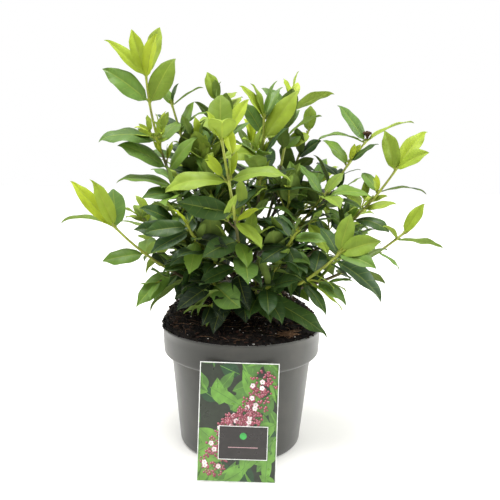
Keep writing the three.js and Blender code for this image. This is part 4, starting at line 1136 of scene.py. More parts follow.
class Finish:
    """Node-based surface of one material, patterned in the part's own space."""

    def __init__(self, name, base, roughness, specular=0.5):
        self.material = bpy.data.materials.new(name)
        self.material.use_nodes = True
        self.tree = self.material.node_tree
        self.tree.nodes.clear()
        self.shader = self.add("ShaderNodeBsdfPrincipled", Roughness=roughness)
        self.shader.inputs["Base Color"].default_value = (*base, 1)
        self.shader.inputs["Specular IOR Level"].default_value = specular
        output = self.add("ShaderNodeOutputMaterial")
        self.tree.links.new(self.shader.outputs["BSDF"], output.inputs["Surface"])
        self.place = self.add("ShaderNodeTexCoord").outputs["Object"]
        self.normal = None

    def add(self, kind, **values):
        """A node with values or links on its named sockets."""
        node = self.tree.nodes.new(kind)
        for name, value in values.items():
            self.feed(node.inputs[name.replace("_", " ")], value)
        return node

    def feed(self, socket, value):
        """Sets a socket, or links another node's output to it."""
        if isinstance(value, bpy.types.NodeSocket):
            self.tree.links.new(value, socket)
        else:
            socket.default_value = value

    def grain(self, size, detail=3.0, stretch=(1, 1, 1)):
        """Soft noise with spots of a size in millimetres, stretched along an axis."""
        mapping = self.add("ShaderNodeMapping", Vector=self.place)
        mapping.inputs["Scale"].default_value = [1 / (s * size * METRES) for s in stretch]
        return self.add("ShaderNodeTexNoise", Vector=mapping.outputs["Vector"], Scale=1.0,
                        Detail=detail).outputs["Fac"]

    def between(self, pattern, low, high, first, last):
        """The pattern's values from low to high as values from first to last."""
        node = self.add("ShaderNodeMapRange", Value=pattern)
        set_range(node, low, high, first, last)
        return node.outputs["Result"]

    def streaks(self, pattern, base, low, high):
        """The base colour darker and lighter along a pattern, by two shares."""
        return self.shades(pattern, [(0.3, shaded(base, low)), (0.7, shaded(base, high))])

    def shades(self, pattern, stops):
        """Colours along the pattern's values."""
        ramp = self.add("ShaderNodeValToRGB", Fac=pattern)
        while len(ramp.color_ramp.elements) < len(stops):
            ramp.color_ramp.elements.new(0.5)
        for element, (place, shade) in zip(ramp.color_ramp.elements, stops):
            element.position = place
            element.color = (*shade, 1)
        return ramp.outputs["Color"]

    def over(self, factor, lower, upper, kind="MIX"):
        """Two colours mixed by a pattern."""
        node = self.tree.nodes.new("ShaderNodeMix")
        node.data_type = "RGBA"
        node.blend_type = kind
        self.feed(node.inputs[0], factor)
        self.feed(node.inputs[6], lower if isinstance(lower, bpy.types.NodeSocket) else (*lower, 1))
        self.feed(node.inputs[7], upper if isinstance(upper, bpy.types.NodeSocket) else (*upper, 1))
        return node.outputs[2]

    def paint(self, output):
        """Gives the shader its colour."""
        self.feed(self.shader.inputs["Base Color"], output)

    def roughen(self, pattern, low, high):
        """Makes the surface more and less matt along a pattern."""
        self.feed(self.shader.inputs["Roughness"], self.between(pattern, 0.3, 0.7, low, high))

    def emboss(self, pattern, depth, strength=1.0):
        """Relief with a depth in millimetres, over what was embossed before."""
        node = self.add("ShaderNodeBump", Height=pattern, Strength=strength, Distance=depth * METRES)
        if self.normal is not None:
            self.feed(node.inputs["Normal"], self.normal)
        self.normal = node.outputs["Normal"]
        self.feed(self.shader.inputs["Normal"], self.normal)


def shaded(base, *shares):
    """A colour with its red, green and blue each times a share."""
    shares = shares * 3 if len(shares) == 1 else shares
    return tuple(min(1.0, value * part) for value, part in zip(base, shares))


def mixed(first, second, part):
    """A colour between two."""
    return tuple(a * (1 - part) + b * part for a, b in zip(first, second))


def mottled(name, base, roughness, size, depth, spread=0.12, specular=0.5):
    """A surface with soft uneven colour, gloss and fine relief."""
    finish = Finish(name, base, roughness, specular)
    finish.paint(finish.streaks(finish.grain(size), base, 1 - spread, 1 + spread))
    finish.roughen(finish.grain(size * 0.6), roughness - 0.06, roughness + 0.08)
    finish.emboss(finish.grain(size * 0.12, 2), depth)
    return finish


def leaf_finishes(tone, settings):
    """Upper side, midrib and underside of one tone, in three near shades that are dealt out by leaf."""
    base, rib, under = picked(settings, tone, "rib", "under")
    rank = TONES.index(tone)
    gloss = settings.gloss + (0.08 if rank < 2 else 0.0)
    rib = mixed(base, rib, 0.6 - 0.07 * rank)
    # Undersides lean to the pale underside colour, partly painted light through the leaf; those of darker
    # tones, low in the shrub, less so as painted shade.
    under = mixed(base, under, 0.66 - 0.09 * rank)
    finishes = [leaf_skin(f"underside_{tone}", under, 0.7),
                leaf_skin(f"midrib_{tone}", rib, gloss + 0.1),
                leaf_skin(f"underside_vein_{tone}", mixed(under, rib, 0.4), 0.7)]
    for number, shift in enumerate(LEAF_SHADES):
        upper = shaded(base, *shift)
        finishes += [leaf_skin(f"leaf_{tone}_{number}", upper, gloss),
                     leaf_skin(f"vein_{tone}_{number}", mixed(upper, rib, 0.4), gloss)]
    return finishes


def leaf_skin(name, base, roughness):
    """Leaf surface with soft blotches and low cells."""
    finish = Finish(name, base, roughness, LEAF_SHEEN)
    finish.paint(finish.streaks(finish.grain(9), base, 0.9, 1.1))
    finish.roughen(finish.grain(5), roughness - 0.06, roughness + 0.08)
    finish.emboss(finish.grain(6, 1), 0.06)
    return finish.material


def stem_finish(name, base, sunny, bark_relief):
    """Stem skin with fine lengthwise streaks, and purple-brown patches on its sunny upper side."""
    finish = Finish(name, base, 0.5)
    streaks = finish.grain(2.2, 4, (1, 1, 5))
    patches = finish.grain(18, 3)
    skin = finish.streaks(streaks, base, 0.8, 1.15)
    normal = finish.add("ShaderNodeNewGeometry").outputs["Normal"]
    facing = finish.add("ShaderNodeSeparateXYZ", Vector=normal)
    topside = finish.between(facing.outputs["Z"], -0.2, 0.6, -0.12, 0.1)
    sun = finish.add("ShaderNodeMath", Value=patches)
    finish.feed(sun.inputs[1], topside)
    finish.paint(finish.over(finish.between(sun.outputs[0], 0.46, 0.58, 0, 0.9), skin, sunny))
    finish.roughen(patches, 0.42, 0.62)
    finish.emboss(streaks, bark_relief)
    return finish.material


def pot_profile(settings):
    """Outer face from the middle of the underside up, rolled rim, then the inner face down to the floor."""
    rim, top = settings.rim_radius / METRES, settings.height / METRES
    collar = top - settings.collar_height / METRES
    foot = settings.foot_radius / METRES
    body = foot + (rim - foot) * POT_BODY_SHARE
    step = collar - POT_STEP
    outer = [(0, 0), (foot - 9, 0), *arc((foot - 5, 5), 5, -88, -8, 7)]
    outer += [(foot + (body - foot) * part, 5 + (step - 5) * part) for part in np.linspace(0.06, 1, 12)]
    outer += arc((body + 3.0, step + 0.2), 3.0, 178, 118, 5)
    outer += arc((rim - 6.6, collar + 1.4), 4.6, -62, -2, 7)
    outer += [(rim - 2 + 1.2 * part, collar + 2 + (top - collar - 6) * part)
              for part in (0.25, 0.5, 0.75, 1)]
    outer += [(rim - 0.4, top - 3.2), *arc((rim - 1.1, top - 1.1), 1.1, -5, 185, 9)]
    lining = [(rim - 2.4, collar + 1), (body - 2, step), (foot - 2, 7), (foot - 7, 3.2), (0, 3)]
    return outer + lining


class MakePot(bpy.types.Operator):
    """Turn the grey nursery pot with its collar and rolled rim."""
    bl_idname = "laurustinus.make_pot"
    bl_label = "Make pot"

    def execute(self, context):
        settings = context.scene.laurustinus_pot
        pile = Pile()
        pile.add(*turned(pot_profile(settings), 144))
        piece = pile.piece("pot_shell", [self.plastic(settings)], sharp_from=60)
        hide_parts("pot")
        return {"FINISHED"}

    def plastic(self, settings):
        """Satin plastic with faint flow lines, dust and scuffs."""
        base, dust = picked(settings, "plastic", "dust")
        finish = Finish("pot_plastic_grey", base, 0.42, 0.25)
        finish.shader.inputs["Sheen Weight"].default_value = 0.27
        flow = finish.grain(16, 5, (1, 1, 6))
        marks = finish.grain(30, 6)
        scuffs = finish.grain(3.2, 4, (1, 1, 9))
        tone = finish.streaks(flow, base, 0.94, 1.05)
        dusty = finish.over(finish.between(marks, 0.5, 0.72, 0, 0.5), tone, dust)
        finish.paint(finish.over(finish.between(scuffs, 0.66, 0.8, 0, 0.35), dusty, dust))
        finish.roughen(marks, 0.36, 0.5)
        finish.emboss(flow, 0.05)
        finish.emboss(finish.grain(0.7, 2), 0.03)
        return finish.material


def peat_height(radius, heading):
    """Height of the root ball's surface, as in the part's source."""
    back = np.clip(0.62 + 0.75 * np.sin(heading) - 0.16 * np.cos(heading), 0, 1)
    shoulder, plateau = 141 + 14 * back, 159 + 12 * back
    fall = (radius / 92) ** (2.5 + 8 * back)
    lumps = np.sin(heading * 5 + radius * 0.11) + np.sin(heading * 3 - radius * 0.07 + 2)
    height = plateau + (shoulder - plateau) * fall + 0.9 * lumps
    return SOIL_FOOT + (height - SOIL_FOOT) * np.clip((radius - SOIL_FOOT_RADIUS) / 22, 0, 1)


def peat_point(radius, heading, lift=0.0):
    """A point on the peat, with its small lumps."""
    place = np.array([radius * math.cos(heading), radius * math.sin(heading), 0.0])
    rough = noise.fractal(Vector(place / 9), 0.9, 2.1, 4) * 1.9 + noise.noise(Vector(place / 2.6)) * 1.4
    edge = min(1.0, (PEAT_RADIUS - radius) / 6)
    place[2] = float(peat_height(radius, heading)) + rough * (0.35 + 0.65 * edge) + lift
    return place


class FillPeat(bpy.types.Operator):
    """Fill the pot with fibrous peat, crumbs, fine roots and specks of perlite."""
    bl_idname = "laurustinus.fill_peat"
    bl_label = "Fill peat"

    def execute(self, context):
        settings = context.scene.laurustinus_peat
        self.draw = Dice(PEAT_SEED)
        self.make_surface(settings)
        self.make_crumbs(settings)
        self.make_fibres(settings)
        return {"FINISHED"}

    def make_surface(self, settings):
        """The lumpy top of the root ball, closed below inside the pot."""
        turns = np.linspace(0, 2 * math.pi, 150, endpoint=False)
        rings = [[(r * math.cos(t), r * math.sin(t), PEAT_UNDERSIDE) for t in turns] for r in (40, 84)]
        rings += [[peat_point(r, t) for t in turns] for r in np.linspace(PEAT_RADIUS, 2, 58)]
        pile = Pile()
        pile.add(*skinned(np.array(rings), (0, 0, PEAT_UNDERSIDE), peat_point(0, 0)))
        piece = pile.piece("peat", [self.peat(settings)])
        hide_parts("soil")

    def peat(self, settings):
        """Moist dark peat with drier brown and reddish flecks."""
        dark, brown, red = picked(settings, "dark", "brown", "red")
        finish = Finish("peat_moist", dark, 0.9, 0.2)
        coarse, fine = finish.grain(6, 6), finish.grain(1.4, 4)
        tone = finish.shades(coarse, [(0.35, shaded(dark, 0.6)), (0.52, dark), (0.7, brown)])
        finish.paint(finish.over(finish.between(fine, 0.56, 0.74, 0, 0.7), tone, red))
        finish.emboss(coarse, 1.2)
        finish.emboss(fine, 0.5)
        return finish.material

    def somewhere(self, inner=8.0, outer=90.0):
        """A place on the peat, evenly spread."""
        radius = math.sqrt(inner ** 2 + (outer ** 2 - inner ** 2) * self.draw())
        return radius, 2 * math.pi * self.draw()

    def crumb(self, pile, place, size, slot):
        """One rough crumb, flattened and turned at random."""
        jitter = np.array([0.7 + 0.6 * self.draw() for _ in CRUMB_POINTS])[:, None]
        stretch = np.array([0.8 + 0.9 * self.draw(), 0.7 + 0.5 * self.draw(), 0.5 + 0.4 * self.draw()])
        axis = unit(np.array([self.draw() - 0.5, self.draw() - 0.5, 2.0]))
        angle = 360 * self.draw()
        shape = CRUMB_POINTS * jitter * stretch * size / 2
        shape = np.array([spun(point, axis, angle) for point in shape])
        pile.add(shape + place, [CRUMB_FACES], slot)

    def make_crumbs(self, settings):
        """Dark, brown and red crumbs on the peat and along the rim, and white specks."""
        crumbs, specks = Pile(), Pile()
        for _ in range(settings.crumbs):
            radius, heading = self.somewhere()
            size = 0.9 + 3.6 * self.draw() ** 3
            self.crumb(crumbs, peat_point(radius, heading, size * 0.18), size, int(3 * self.draw()))
        for _ in range(settings.specks):
            radius, heading = self.somewhere()
            size = 0.8 + 1.5 * self.draw() ** 2
            self.crumb(specks, peat_point(radius, heading, size * 0.5), size, 0)
        for number in range(RIM_CRUMBS):
            self.rim_crumb(crumbs, number % 7 > 0)
        shades = picked(settings, "dark", "brown", "red")
        finishes = [mottled(f"crumb_{i}", shade, 0.88, 1.5, 0.2, 0.3, 0.2).material
                    for i, shade in enumerate(shades)]
        crumbs.piece("peat_crumbs", finishes, smooth=False)
        white = mottled("perlite_white", tuple(settings.perlite), 0.85, 0.8, 0.1, 0.06, 0.3).material
        specks.piece("perlite", [white], smooth=False)

    def rim_crumb(self, pile, back):
        """A crumb at the pot's edge: at the back and left they heap up against the rim."""
        heading = math.radians(25 + 190 * self.draw() if back else 360 * self.draw())
        radius = 91 + 4.6 * self.draw()
        top = RIM_TOP + (4 + 8 * self.draw()) * (RIM_OUTER - radius) / 4.4 * back
        size = 1.2 + 2.6 * self.draw() ** 2
        place = (radius * math.cos(heading), radius * math.sin(heading), top)
        self.crumb(pile, place, size, int(2 * self.draw()))

    def make_fibres(self, settings):
        """Fine roots and fibres, more of them at the left shoulder, and a fibrous chip at the right."""
        pile = Pile()
        for number in range(settings.fibres):
            radius, heading = self.somewhere()
            length = 5 + 16 * self.draw() ** 2
            if number % 9 == 0:
                radius, heading = 78 + 12 * self.draw(), math.radians(170 + 60 * self.draw())
            place = peat_point(radius, heading, 0.5)
            self.fibre(pile, place, length, 0.1 + 0.13 * self.draw(), int(3 * self.draw()))
        chip = peat_point(83, math.radians(-52), 1.5)
        for _ in range(CHIP_FIBRES):
            start = chip + np.array([10 * (self.draw() - 0.5), 7 * (self.draw() - 0.5), 3 * self.draw()])
            self.fibre(pile, start, 6 + 9 * self.draw(), 0.2 + 0.25 * self.draw(), 1 + int(2 * self.draw()))
        base = tuple(settings.fibre)
        finishes = [mottled(f"fibre_{i}", shaded(base, part), 0.75, 2, 0.05, 0.2, 0.3).material
                    for i, part in enumerate((0.45, 0.8, 1.3))]
        pile.piece("peat_fibres", finishes)

    def fibre(self, pile, start, length, radius, slot):
        """One bent fibre that lies on the peat."""
        heading = 2 * math.pi * self.draw()
        rise = 0.12 + 0.5 * self.draw() ** 3
        curl = (self.draw() - 0.5) * 1.6
        shares = np.linspace(0, 1, 5)
        turns = heading + curl * shares
        line = start + np.stack([np.cos(turns) * length * shares, np.sin(turns) * length * shares,
                                 length * rise * shares * (1.35 - shares)], axis=1)
        reach = np.hypot(line[:, 0], line[:, 1])
        line[:, :2] *= np.minimum(1, FIBRE_REACH / reach)[:, None]
        pile.add(*tube(line, radius * np.array([0.8, 1, 1, 0.9, 0.4]), 4), slot)


def stem_radius(stem, distances):
    """Radius of a shoot at distances from its start, with a wider foot and a swelling at each pair."""
    distances = np.asarray(distances, float)
    knots = [0, stem.knuckle * 0.5, stem.knuckle, max(stem.split, stem.knuckle + 1), stem.course.length]
    radii = [stem.radius + 1.9, stem.radius + 0.6, stem.radius, STEM_RADIUS, STEM_TIP_RADIUS]
    swelling = np.zeros(len(distances))
    for below in stem.levels:
        swelling += 0.14 * np.exp(-((distances - (stem.course.length - below)) / 1.9) ** 2)
    return np.interp(distances, knots, radii) * (1 + np.minimum(swelling, 0.2))


class GrowLimbs(bpy.types.Operator):
    """Grow the woody foot and the boughs, with the relief of their bark."""
    bl_idname = "laurustinus.grow_limbs"
    bl_label = "Grow limbs"

    def execute(self, context):
        settings = context.scene.laurustinus_stems
        pile = Pile()
        trunk = trunk_course()
        distances = np.linspace(-4, trunk.length, 30)
        line = trunk.at(distances / trunk.length)
        radii = np.interp(distances, np.linspace(0, trunk.length, len(TRUNK_RADII)), TRUNK_RADII)
        pile.add(*tube(line, radii + np.where(distances < 0, 2.5, 0), 24))
        for stem in grown_shrub():
            distances = np.arange(0, stem.split + 5, 1.6)
            pile.add(*tube(stem.course.point(distances), stem_radius(stem, distances), 12))
        piece = pile.piece("limbs", [])
        self.join_bark(piece)
        piece.data.materials.append(
            stem_finish("bark_brown_green", *picked(settings, "bark", "older"), 0.3))
        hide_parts("trunk", *(name for name in NODE_NAMES if name.startswith("bough_")))
        return {"FINISHED"}

    def join_bark(self, piece):
        """Fuses the limbs into one skin and raises lengthwise ridges and small pores on it."""
        modifier = piece.modifiers.new("one_skin", "REMESH")
        modifier.mode = "VOXEL"
        modifier.voxel_size = BARK_GRAIN * METRES
        graph = bpy.context.evaluated_depsgraph_get()
        mesh = bpy.data.meshes.new_from_object(piece.evaluated_get(graph))
        piece.modifiers.clear()
        piece.data = mesh
        total = len(mesh.vertices)
        points, normals = np.empty(total * 3), np.empty(total * 3)
        mesh.vertices.foreach_get("co", points)
        mesh.vertex_normals.foreach_get("vector", normals)
        points, normals = points.reshape(-1, 3), normals.reshape(-1, 3)
        scaled = points / METRES
        ridges = np.array([noise.noise(Vector((x / 1.3, y / 1.3, z / 7)))
                           + 0.6 * noise.noise(Vector((x, y, z)) / 3.1) for x, y, z in scaled])
        depth = np.interp(scaled[:, 2], BARK_HEIGHTS, BARK_DEPTHS)
        points += normals * (ridges * depth)[:, None] * METRES
        mesh.vertices.foreach_set("co", points.ravel())
        mesh.polygons.foreach_set("use_smooth", np.full(len(mesh.polygons), True))
        mesh.update()


class GrowStems(bpy.types.Operator):
    """Grow the leafy stems and the twigs on them."""
    bl_idname = "laurustinus.grow_stems"
    bl_label = "Grow stems"

    def execute(self, context):
        settings = context.scene.laurustinus_stems
        young, older = Pile(), Pile()
        for stem in grown_shrub():
            length = stem.course.length
            green_from = max(stem.split - 4, length - YOUNG_WOOD)
            self.stretch(young, stem, green_from, length)
            if green_from > stem.split - 3:
                self.stretch(older, stem, stem.split - 4, green_from + 1)
            for side in stem.twigs:
                line = side["base"] + np.outer(np.linspace(-0.04, 1, 7) * side["length"], side["direction"])
                radii = np.linspace(TWIG_RADIUS, TWIG_TIP_RADIUS, 7)
                pile = young if side["below"] < YOUNG_WOOD else older
                pile.add(*tube(line, radii * np.array([1.5, 1.1, 1, 1, 1, 1.05, 1.2]), 8))
        young_skin, older_skin, sunny = picked(settings, "young", "older", "sunny")
        green = stem_finish("stem_yellow_green", young_skin, mixed(young_skin, sunny, 0.45), 0.06)
        brown = stem_finish("stem_olive_brown", older_skin, sunny, 0.12)
        nodes = [name for name in NODE_NAMES if name.startswith("leaves_")]
        for name, pile, finish in (("stems_young", young, green), ("stems_older", older, brown)):
            piece = pile.piece(name, [finish])
            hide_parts(*nodes)
        return {"FINISHED"}

    def stretch(self, pile, stem, start, end):
        """A length of a stem, from one distance from its start to another."""
        distances = np.linspace(start, end, max(4, int((end - start) / 1.7)))
        pile.add(*tube(stem.course.point(distances), stem_radius(stem, distances), 10))


class GrowLeaves(bpy.types.Operator):
    """Grow the leaves, each tone as a piece of its own."""
    bl_idname = "laurustinus.grow_leaves"
    bl_label = "Grow leaves"

    def execute(self, context):
        settings = context.scene.laurustinus_leaves
        piles, masses = defaultdict(Pile), defaultdict(set)
        for stem in grown_shrub():
            every = stem.blades + [data for side in stem.twigs for data in side["blades"]]
            for data in every:
                shade = int(len(LEAF_SHADES) * stem.fine_dice())
                kind = self.kind_of(stem, data)
                points, faces, slots = leaf_blade(data, stem.fine_dice)
                piles[kind].add(points, faces, np.where(slots >= UPPER, slots + 2 * shade, slots))
                piles[kind].add(*leaf_stalk(data), RIB)
                masses[kind].add(f"leaves_{stem.name}")
        finishes = {tone: leaf_finishes(tone, settings) for tone in TONES}
        for kind, pile in sorted(piles.items()):
            tone = kind.split("_")[0]
            piece = pile.piece(f"leaves_{kind}", finishes[tone], sharp_from=48)
            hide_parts(*sorted(masses[kind]))
            LEAF_SLOTS[tone]
        return {"FINISHED"}

    @staticmethod
    def kind_of(stem, data):
        """Tone of a leaf. There are so many deep ones that those of the rear are a piece of their own."""
        rear = data["tone"] == "deep" and stem.row["tip"][1] > REAR_FROM
        return data["tone"] + "_rear" * rear


class GrowBuds(bpy.types.Operator):
    """Set buds at the tips and in the axils, and an old flower head on one shoot."""
    bl_idname = "laurustinus.grow_buds"
    bl_label = "Grow buds"

    def execute(self, context):
        settings = context.scene.laurustinus_stems
        buds, dried = Pile(), Pile()
        for stem in grown_shrub():
            draw = Dice(BUD_SEED + len(stem.blades))
            tip, along = stem.spot(0)
            self.resting_tip(buds, tip, along, 1.0, draw)
            for side in stem.twigs:
                end = side["base"] + side["direction"] * side["length"]
                self.resting_tip(buds, end, side["direction"], 0.7, draw)
            for data in stem.blades:
                point, along = stem.spot(data["below"])
                lean = unit(along + data["chord"] * 0.9)
                start = point + unit(data["chord"] + along * 0.6) * (STEM_TIP_RADIUS + 0.5)
                buds.add(*seed_shape(start, lean, 3.2 + 1.6 * draw(), 1.0, 6))
            if stem.name == DRIED_ON:
                self.flower_head(dried, tip, draw)
        green = mottled("bud_olive", tuple(settings.bud), 0.45, 2, 0.05).material
        buds.piece("buds", [green])
        brown = mottled("flower_dried_brown", tuple(settings.dried), 0.8, 1.5, 0.15, 0.3, 0.2).material
        dried.piece("dried_flower_head", [brown])
        return {"FINISHED"}

    def resting_tip(self, pile, point, along, size, draw):
        """Two folded bud scales at the end of a stem."""
        flat = across_stem(along, 360 * draw())
        for hand in (1, -1):
            heading = unit(along + flat * hand * 0.22)
            start = point - along * 1.5 + flat * hand * 0.6 * size
            pile.add(*seed_shape(start, heading, size * (6 + 3 * draw()), 1.35 * size, 7))

    def flower_head(self, pile, tip, draw):
        """Flat head of short dried stalks, each ending in a knob."""
        for number in range(DRIED_STALKS):
            turn = math.radians(GOLDEN_TURN * number)
            spread = DRIED_SPREAD * math.sqrt((number + 0.5) / DRIED_STALKS)
            end = tip + np.array([spread * math.cos(turn), spread * math.sin(turn), 10 - 0.1 * spread ** 2])
            end += np.array([draw(), draw(), draw()]) * 1.2 - 0.6
            middle = tip + (end - tip) * 0.45 + UP * 1.2
            pile.add(*tube([tip, middle, end], [0.6, 0.4, 0.35], 5))
            pile.add(*seed_shape(end - UP * 0.8, unit(end - tip), 2.4, 1.15, 6))


class PrintCard(bpy.types.Operator):
    """Make the picture card: leaves, buds and blossoms round a dark empty panel, with no lettering."""
    bl_idname = "laurustinus.print_card"
    bl_label = "Print card"

    def execute(self, context):
        settings = context.scene.laurustinus_card
        self.draw = Dice(CARD_SEED)
        self.width, self.height = settings.width / METRES, settings.height / METRES
        self.layers = {name: Pile() for name in CARD_INKS}
        self.level, self.drop = 0, None
        half_width, half_height = self.width / 2, self.height / 2
        self.block("paper", 0, half_height, half_width, half_height, CARD_THICKNESS)
        self.block("ground", 0, half_height, half_width - CARD_BORDER, half_height - CARD_BORDER)
        self.print_leaves()
        self.print_flowers()
        self.print_panel()
        inks = [name for name in CARD_INKS if self.layers[name].count]
        joined = Pile()
        for slot, name in enumerate(inks):
            layer = self.layers[name]
            joined.add(self.placed(np.concatenate(layer.points)), layer.faces, slot)
        finishes = [self.ink(name, settings) for name in inks]
        piece = joined.piece("picture_card_print", finishes, smooth=False)
        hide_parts("picture_card")
        return {"FINISHED"}

    def ink(self, name, settings):
        """Glossy laminated ink with a soft print grain."""
        light, dark, bud, blossom = picked(settings, "light_leaf", "dark_leaf", "bud", "blossom")
        between = {"mid_leaf": mixed(light, dark, 0.5), "bright_bud": mixed(bud, blossom, 0.45),
                   "dark_bud": shaded(bud, 0.5)}
        base = between[name] if name in between else tuple(getattr(settings, name))
        finish = Finish(f"card_{name}", base, 0.3)
        finish.paint(finish.streaks(finish.grain(9 if "leaf" in name else 5, 2), base, 0.78, 1.2))
        finish.roughen(finish.grain(12), 0.26, 0.34)
        return finish.material

    def placed(self, points):
        """Card space, with its face towards the viewer, to the card's leaning place at the pot.

        The paper comes first, and its lowest corner sets how far the card drops to the floor.
        """
        turn, lean = math.radians(CARD_TURN), math.radians(CARD_LEAN)
        bow = CARD_BOW * (points[:, 0] / self.width * 2) ** 2
        x, y, z = points[:, 0], points[:, 1] + bow, points[:, 2]
        x, z = x * math.cos(turn) + z * math.sin(turn), z * math.cos(turn) - x * math.sin(turn)
        y, z = y * math.cos(lean) + z * math.sin(lean), z * math.cos(lean) - y * math.sin(lean)
        if self.drop is None:
            self.drop = z.min()
        return np.stack([x + CARD_X, y + CARD_FOOT_Y, z - self.drop], axis=1)

    def next_depth(self):
        """Depth of the next printed shape, a hair in front of the one before."""
        self.level += 1
        return -CARD_THICKNESS / 2 - 0.02 - 0.0006 * self.level

    def flat(self, ink, outline):
        """A printed shape from its outline of x and height, a little over what is below it."""
        half_x, low, high = self.width / 2 - CARD_BORDER, CARD_BORDER, self.height - CARD_BORDER
        outline = np.array([(min(half_x, max(-half_x, x)), min(high, max(low, z))) for x, z in outline])
        depth = self.next_depth()
        middle = outline.mean(axis=0)
        points = np.array([(x, depth, z) for x, z in [*outline, middle]])
        count = len(outline)
        ring = np.arange(count)
        fan = np.stack([ring, np.roll(ring, -1), np.full(count, count)], axis=1)
        self.layers[ink].add(points, [fan])

    def block(self, ink, x, z, half_width, half_height, thickness=0):
        """A rectangle: a solid card if it has a thickness, and print if not."""
        steps = x + np.linspace(-half_width, half_width, 17)
        front = -thickness / 2 if thickness else self.next_depth()
        edges = [(front, z - half_height), (front, z + half_height)]
        if thickness:
            edges += [(-front, z + half_height), (-front, z - half_height)]
        rows = np.array([[(step, depth, height) for step in steps] for depth, height in edges])
        count = len(steps)
        column = np.arange(count - 1)
        bands = [(a, (a + 1) % len(edges)) for a in range(len(edges) if thickness else 1)]
        faces = [np.stack([a * count + column, a * count + column + 1,
                           b * count + column + 1, b * count + column], axis=1) for a, b in bands]
        if thickness:
            starts = np.arange(len(edges)) * count
            faces.append(np.array([starts, starts[::-1] + count - 1]))
        self.layers[ink].add(rows.reshape(-1, 3), faces)

    def leaf_print(self, ink, x, z, heading, length, width):
        """A printed leaf with its midrib."""
        shares = np.linspace(0, 1, 12)
        along, aside = math.radians(heading), math.radians(heading + 90)
        spine = [(x + length * s * math.cos(along), z + length * s * math.sin(along)) for s in shares]
        rib_ink = "mid_leaf" if ink == "light_leaf" else "light_leaf"
        half_leaf = width / 2 * np.sin(math.pi * shares ** 0.85)
        for shape_ink, half in ((ink, half_leaf), (rib_ink, np.full(len(shares), 0.25))):
            left, right = ([(px + h * math.cos(aside), pz + h * math.sin(aside))
                            for (px, pz), h in zip(spine, half * side)] for side in (1, -1))
            self.flat(shape_ink, right + left[::-1])

    def disc(self, ink, x, z, radius, sides=10):
        """A printed round spot."""
        turns = np.linspace(0, 2 * math.pi, sides, endpoint=False)
        self.flat(ink, [(x + radius * math.cos(t), z + radius * math.sin(t)) for t in turns])

    def print_leaves(self):
        """Leaves that lie across one another, from dark ones at the back to bright ones in front."""
        for number in range(PRINTED_LEAVES):
            ink = ("dark_leaf", "mid_leaf", "light_leaf")[min(2, int(number / 38 + self.draw() * 0.9))]
            x, z = (self.draw() - 0.5) * (self.width + 14), -10 + (self.height + 12) * self.draw()
            self.leaf_print(ink, x, z, 20 + 140 * self.draw(), 20 + 20 * self.draw(), 10 + 8 * self.draw())

    def print_flowers(self):
        """Buds and open blossoms along a loose garland from low left to high right."""
        for share_along in np.linspace(0, 1, GARLAND_STEPS):
            middle_x = -25 + 50 * share_along
            middle_z = 20 + 84 * share_along + 10 * math.sin(share_along * 6.3)
            for _ in range(STEP_BUDS):
                reach, turn = 14.5 * math.sqrt(self.draw()), 2 * math.pi * self.draw()
                x, z = middle_x + reach * math.cos(turn), middle_z + reach * math.sin(turn)
                size = 1.0 + 0.5 * self.draw()
                self.disc("dark_bud", x + 0.3, z - 0.35, size)
                self.disc("bud", x, z, size * 0.86)
                self.disc("bright_bud", x - 0.3, z + 0.35, size * 0.36)
            for _ in range(STEP_BLOSSOMS):
                reach, turn = 11 * math.sqrt(self.draw()), 2 * math.pi * self.draw()
                self.blossom(middle_x + reach * math.cos(turn), middle_z + reach * math.sin(turn))

    def blossom(self, x, z):
        """Five round petals and a small eye."""
        start = 2 * math.pi * self.draw()
        for petal in range(5):
            turn = start + petal * 2 * math.pi / 5
            self.disc("blossom", x + 1.5 * math.cos(turn), z + 1.5 * math.sin(turn), 1.25)
        self.disc("light_leaf", x, z, 0.6)

    def print_panel(self):
        """Dark empty panel in a pale frame, with a small green dot over a thin pale rule."""
        x, z, half_width, half_height = CARD_PANEL
        self.block("paper", x, z, half_width + 0.7, half_height + 0.7)
        self.block("panel", x, z, half_width, half_height)
        self.disc("tab", x, z + half_height * 0.42, 3.6, 20)
        self.block("bright_bud", x, z - half_height * 0.28, half_width * 0.62, 0.35)


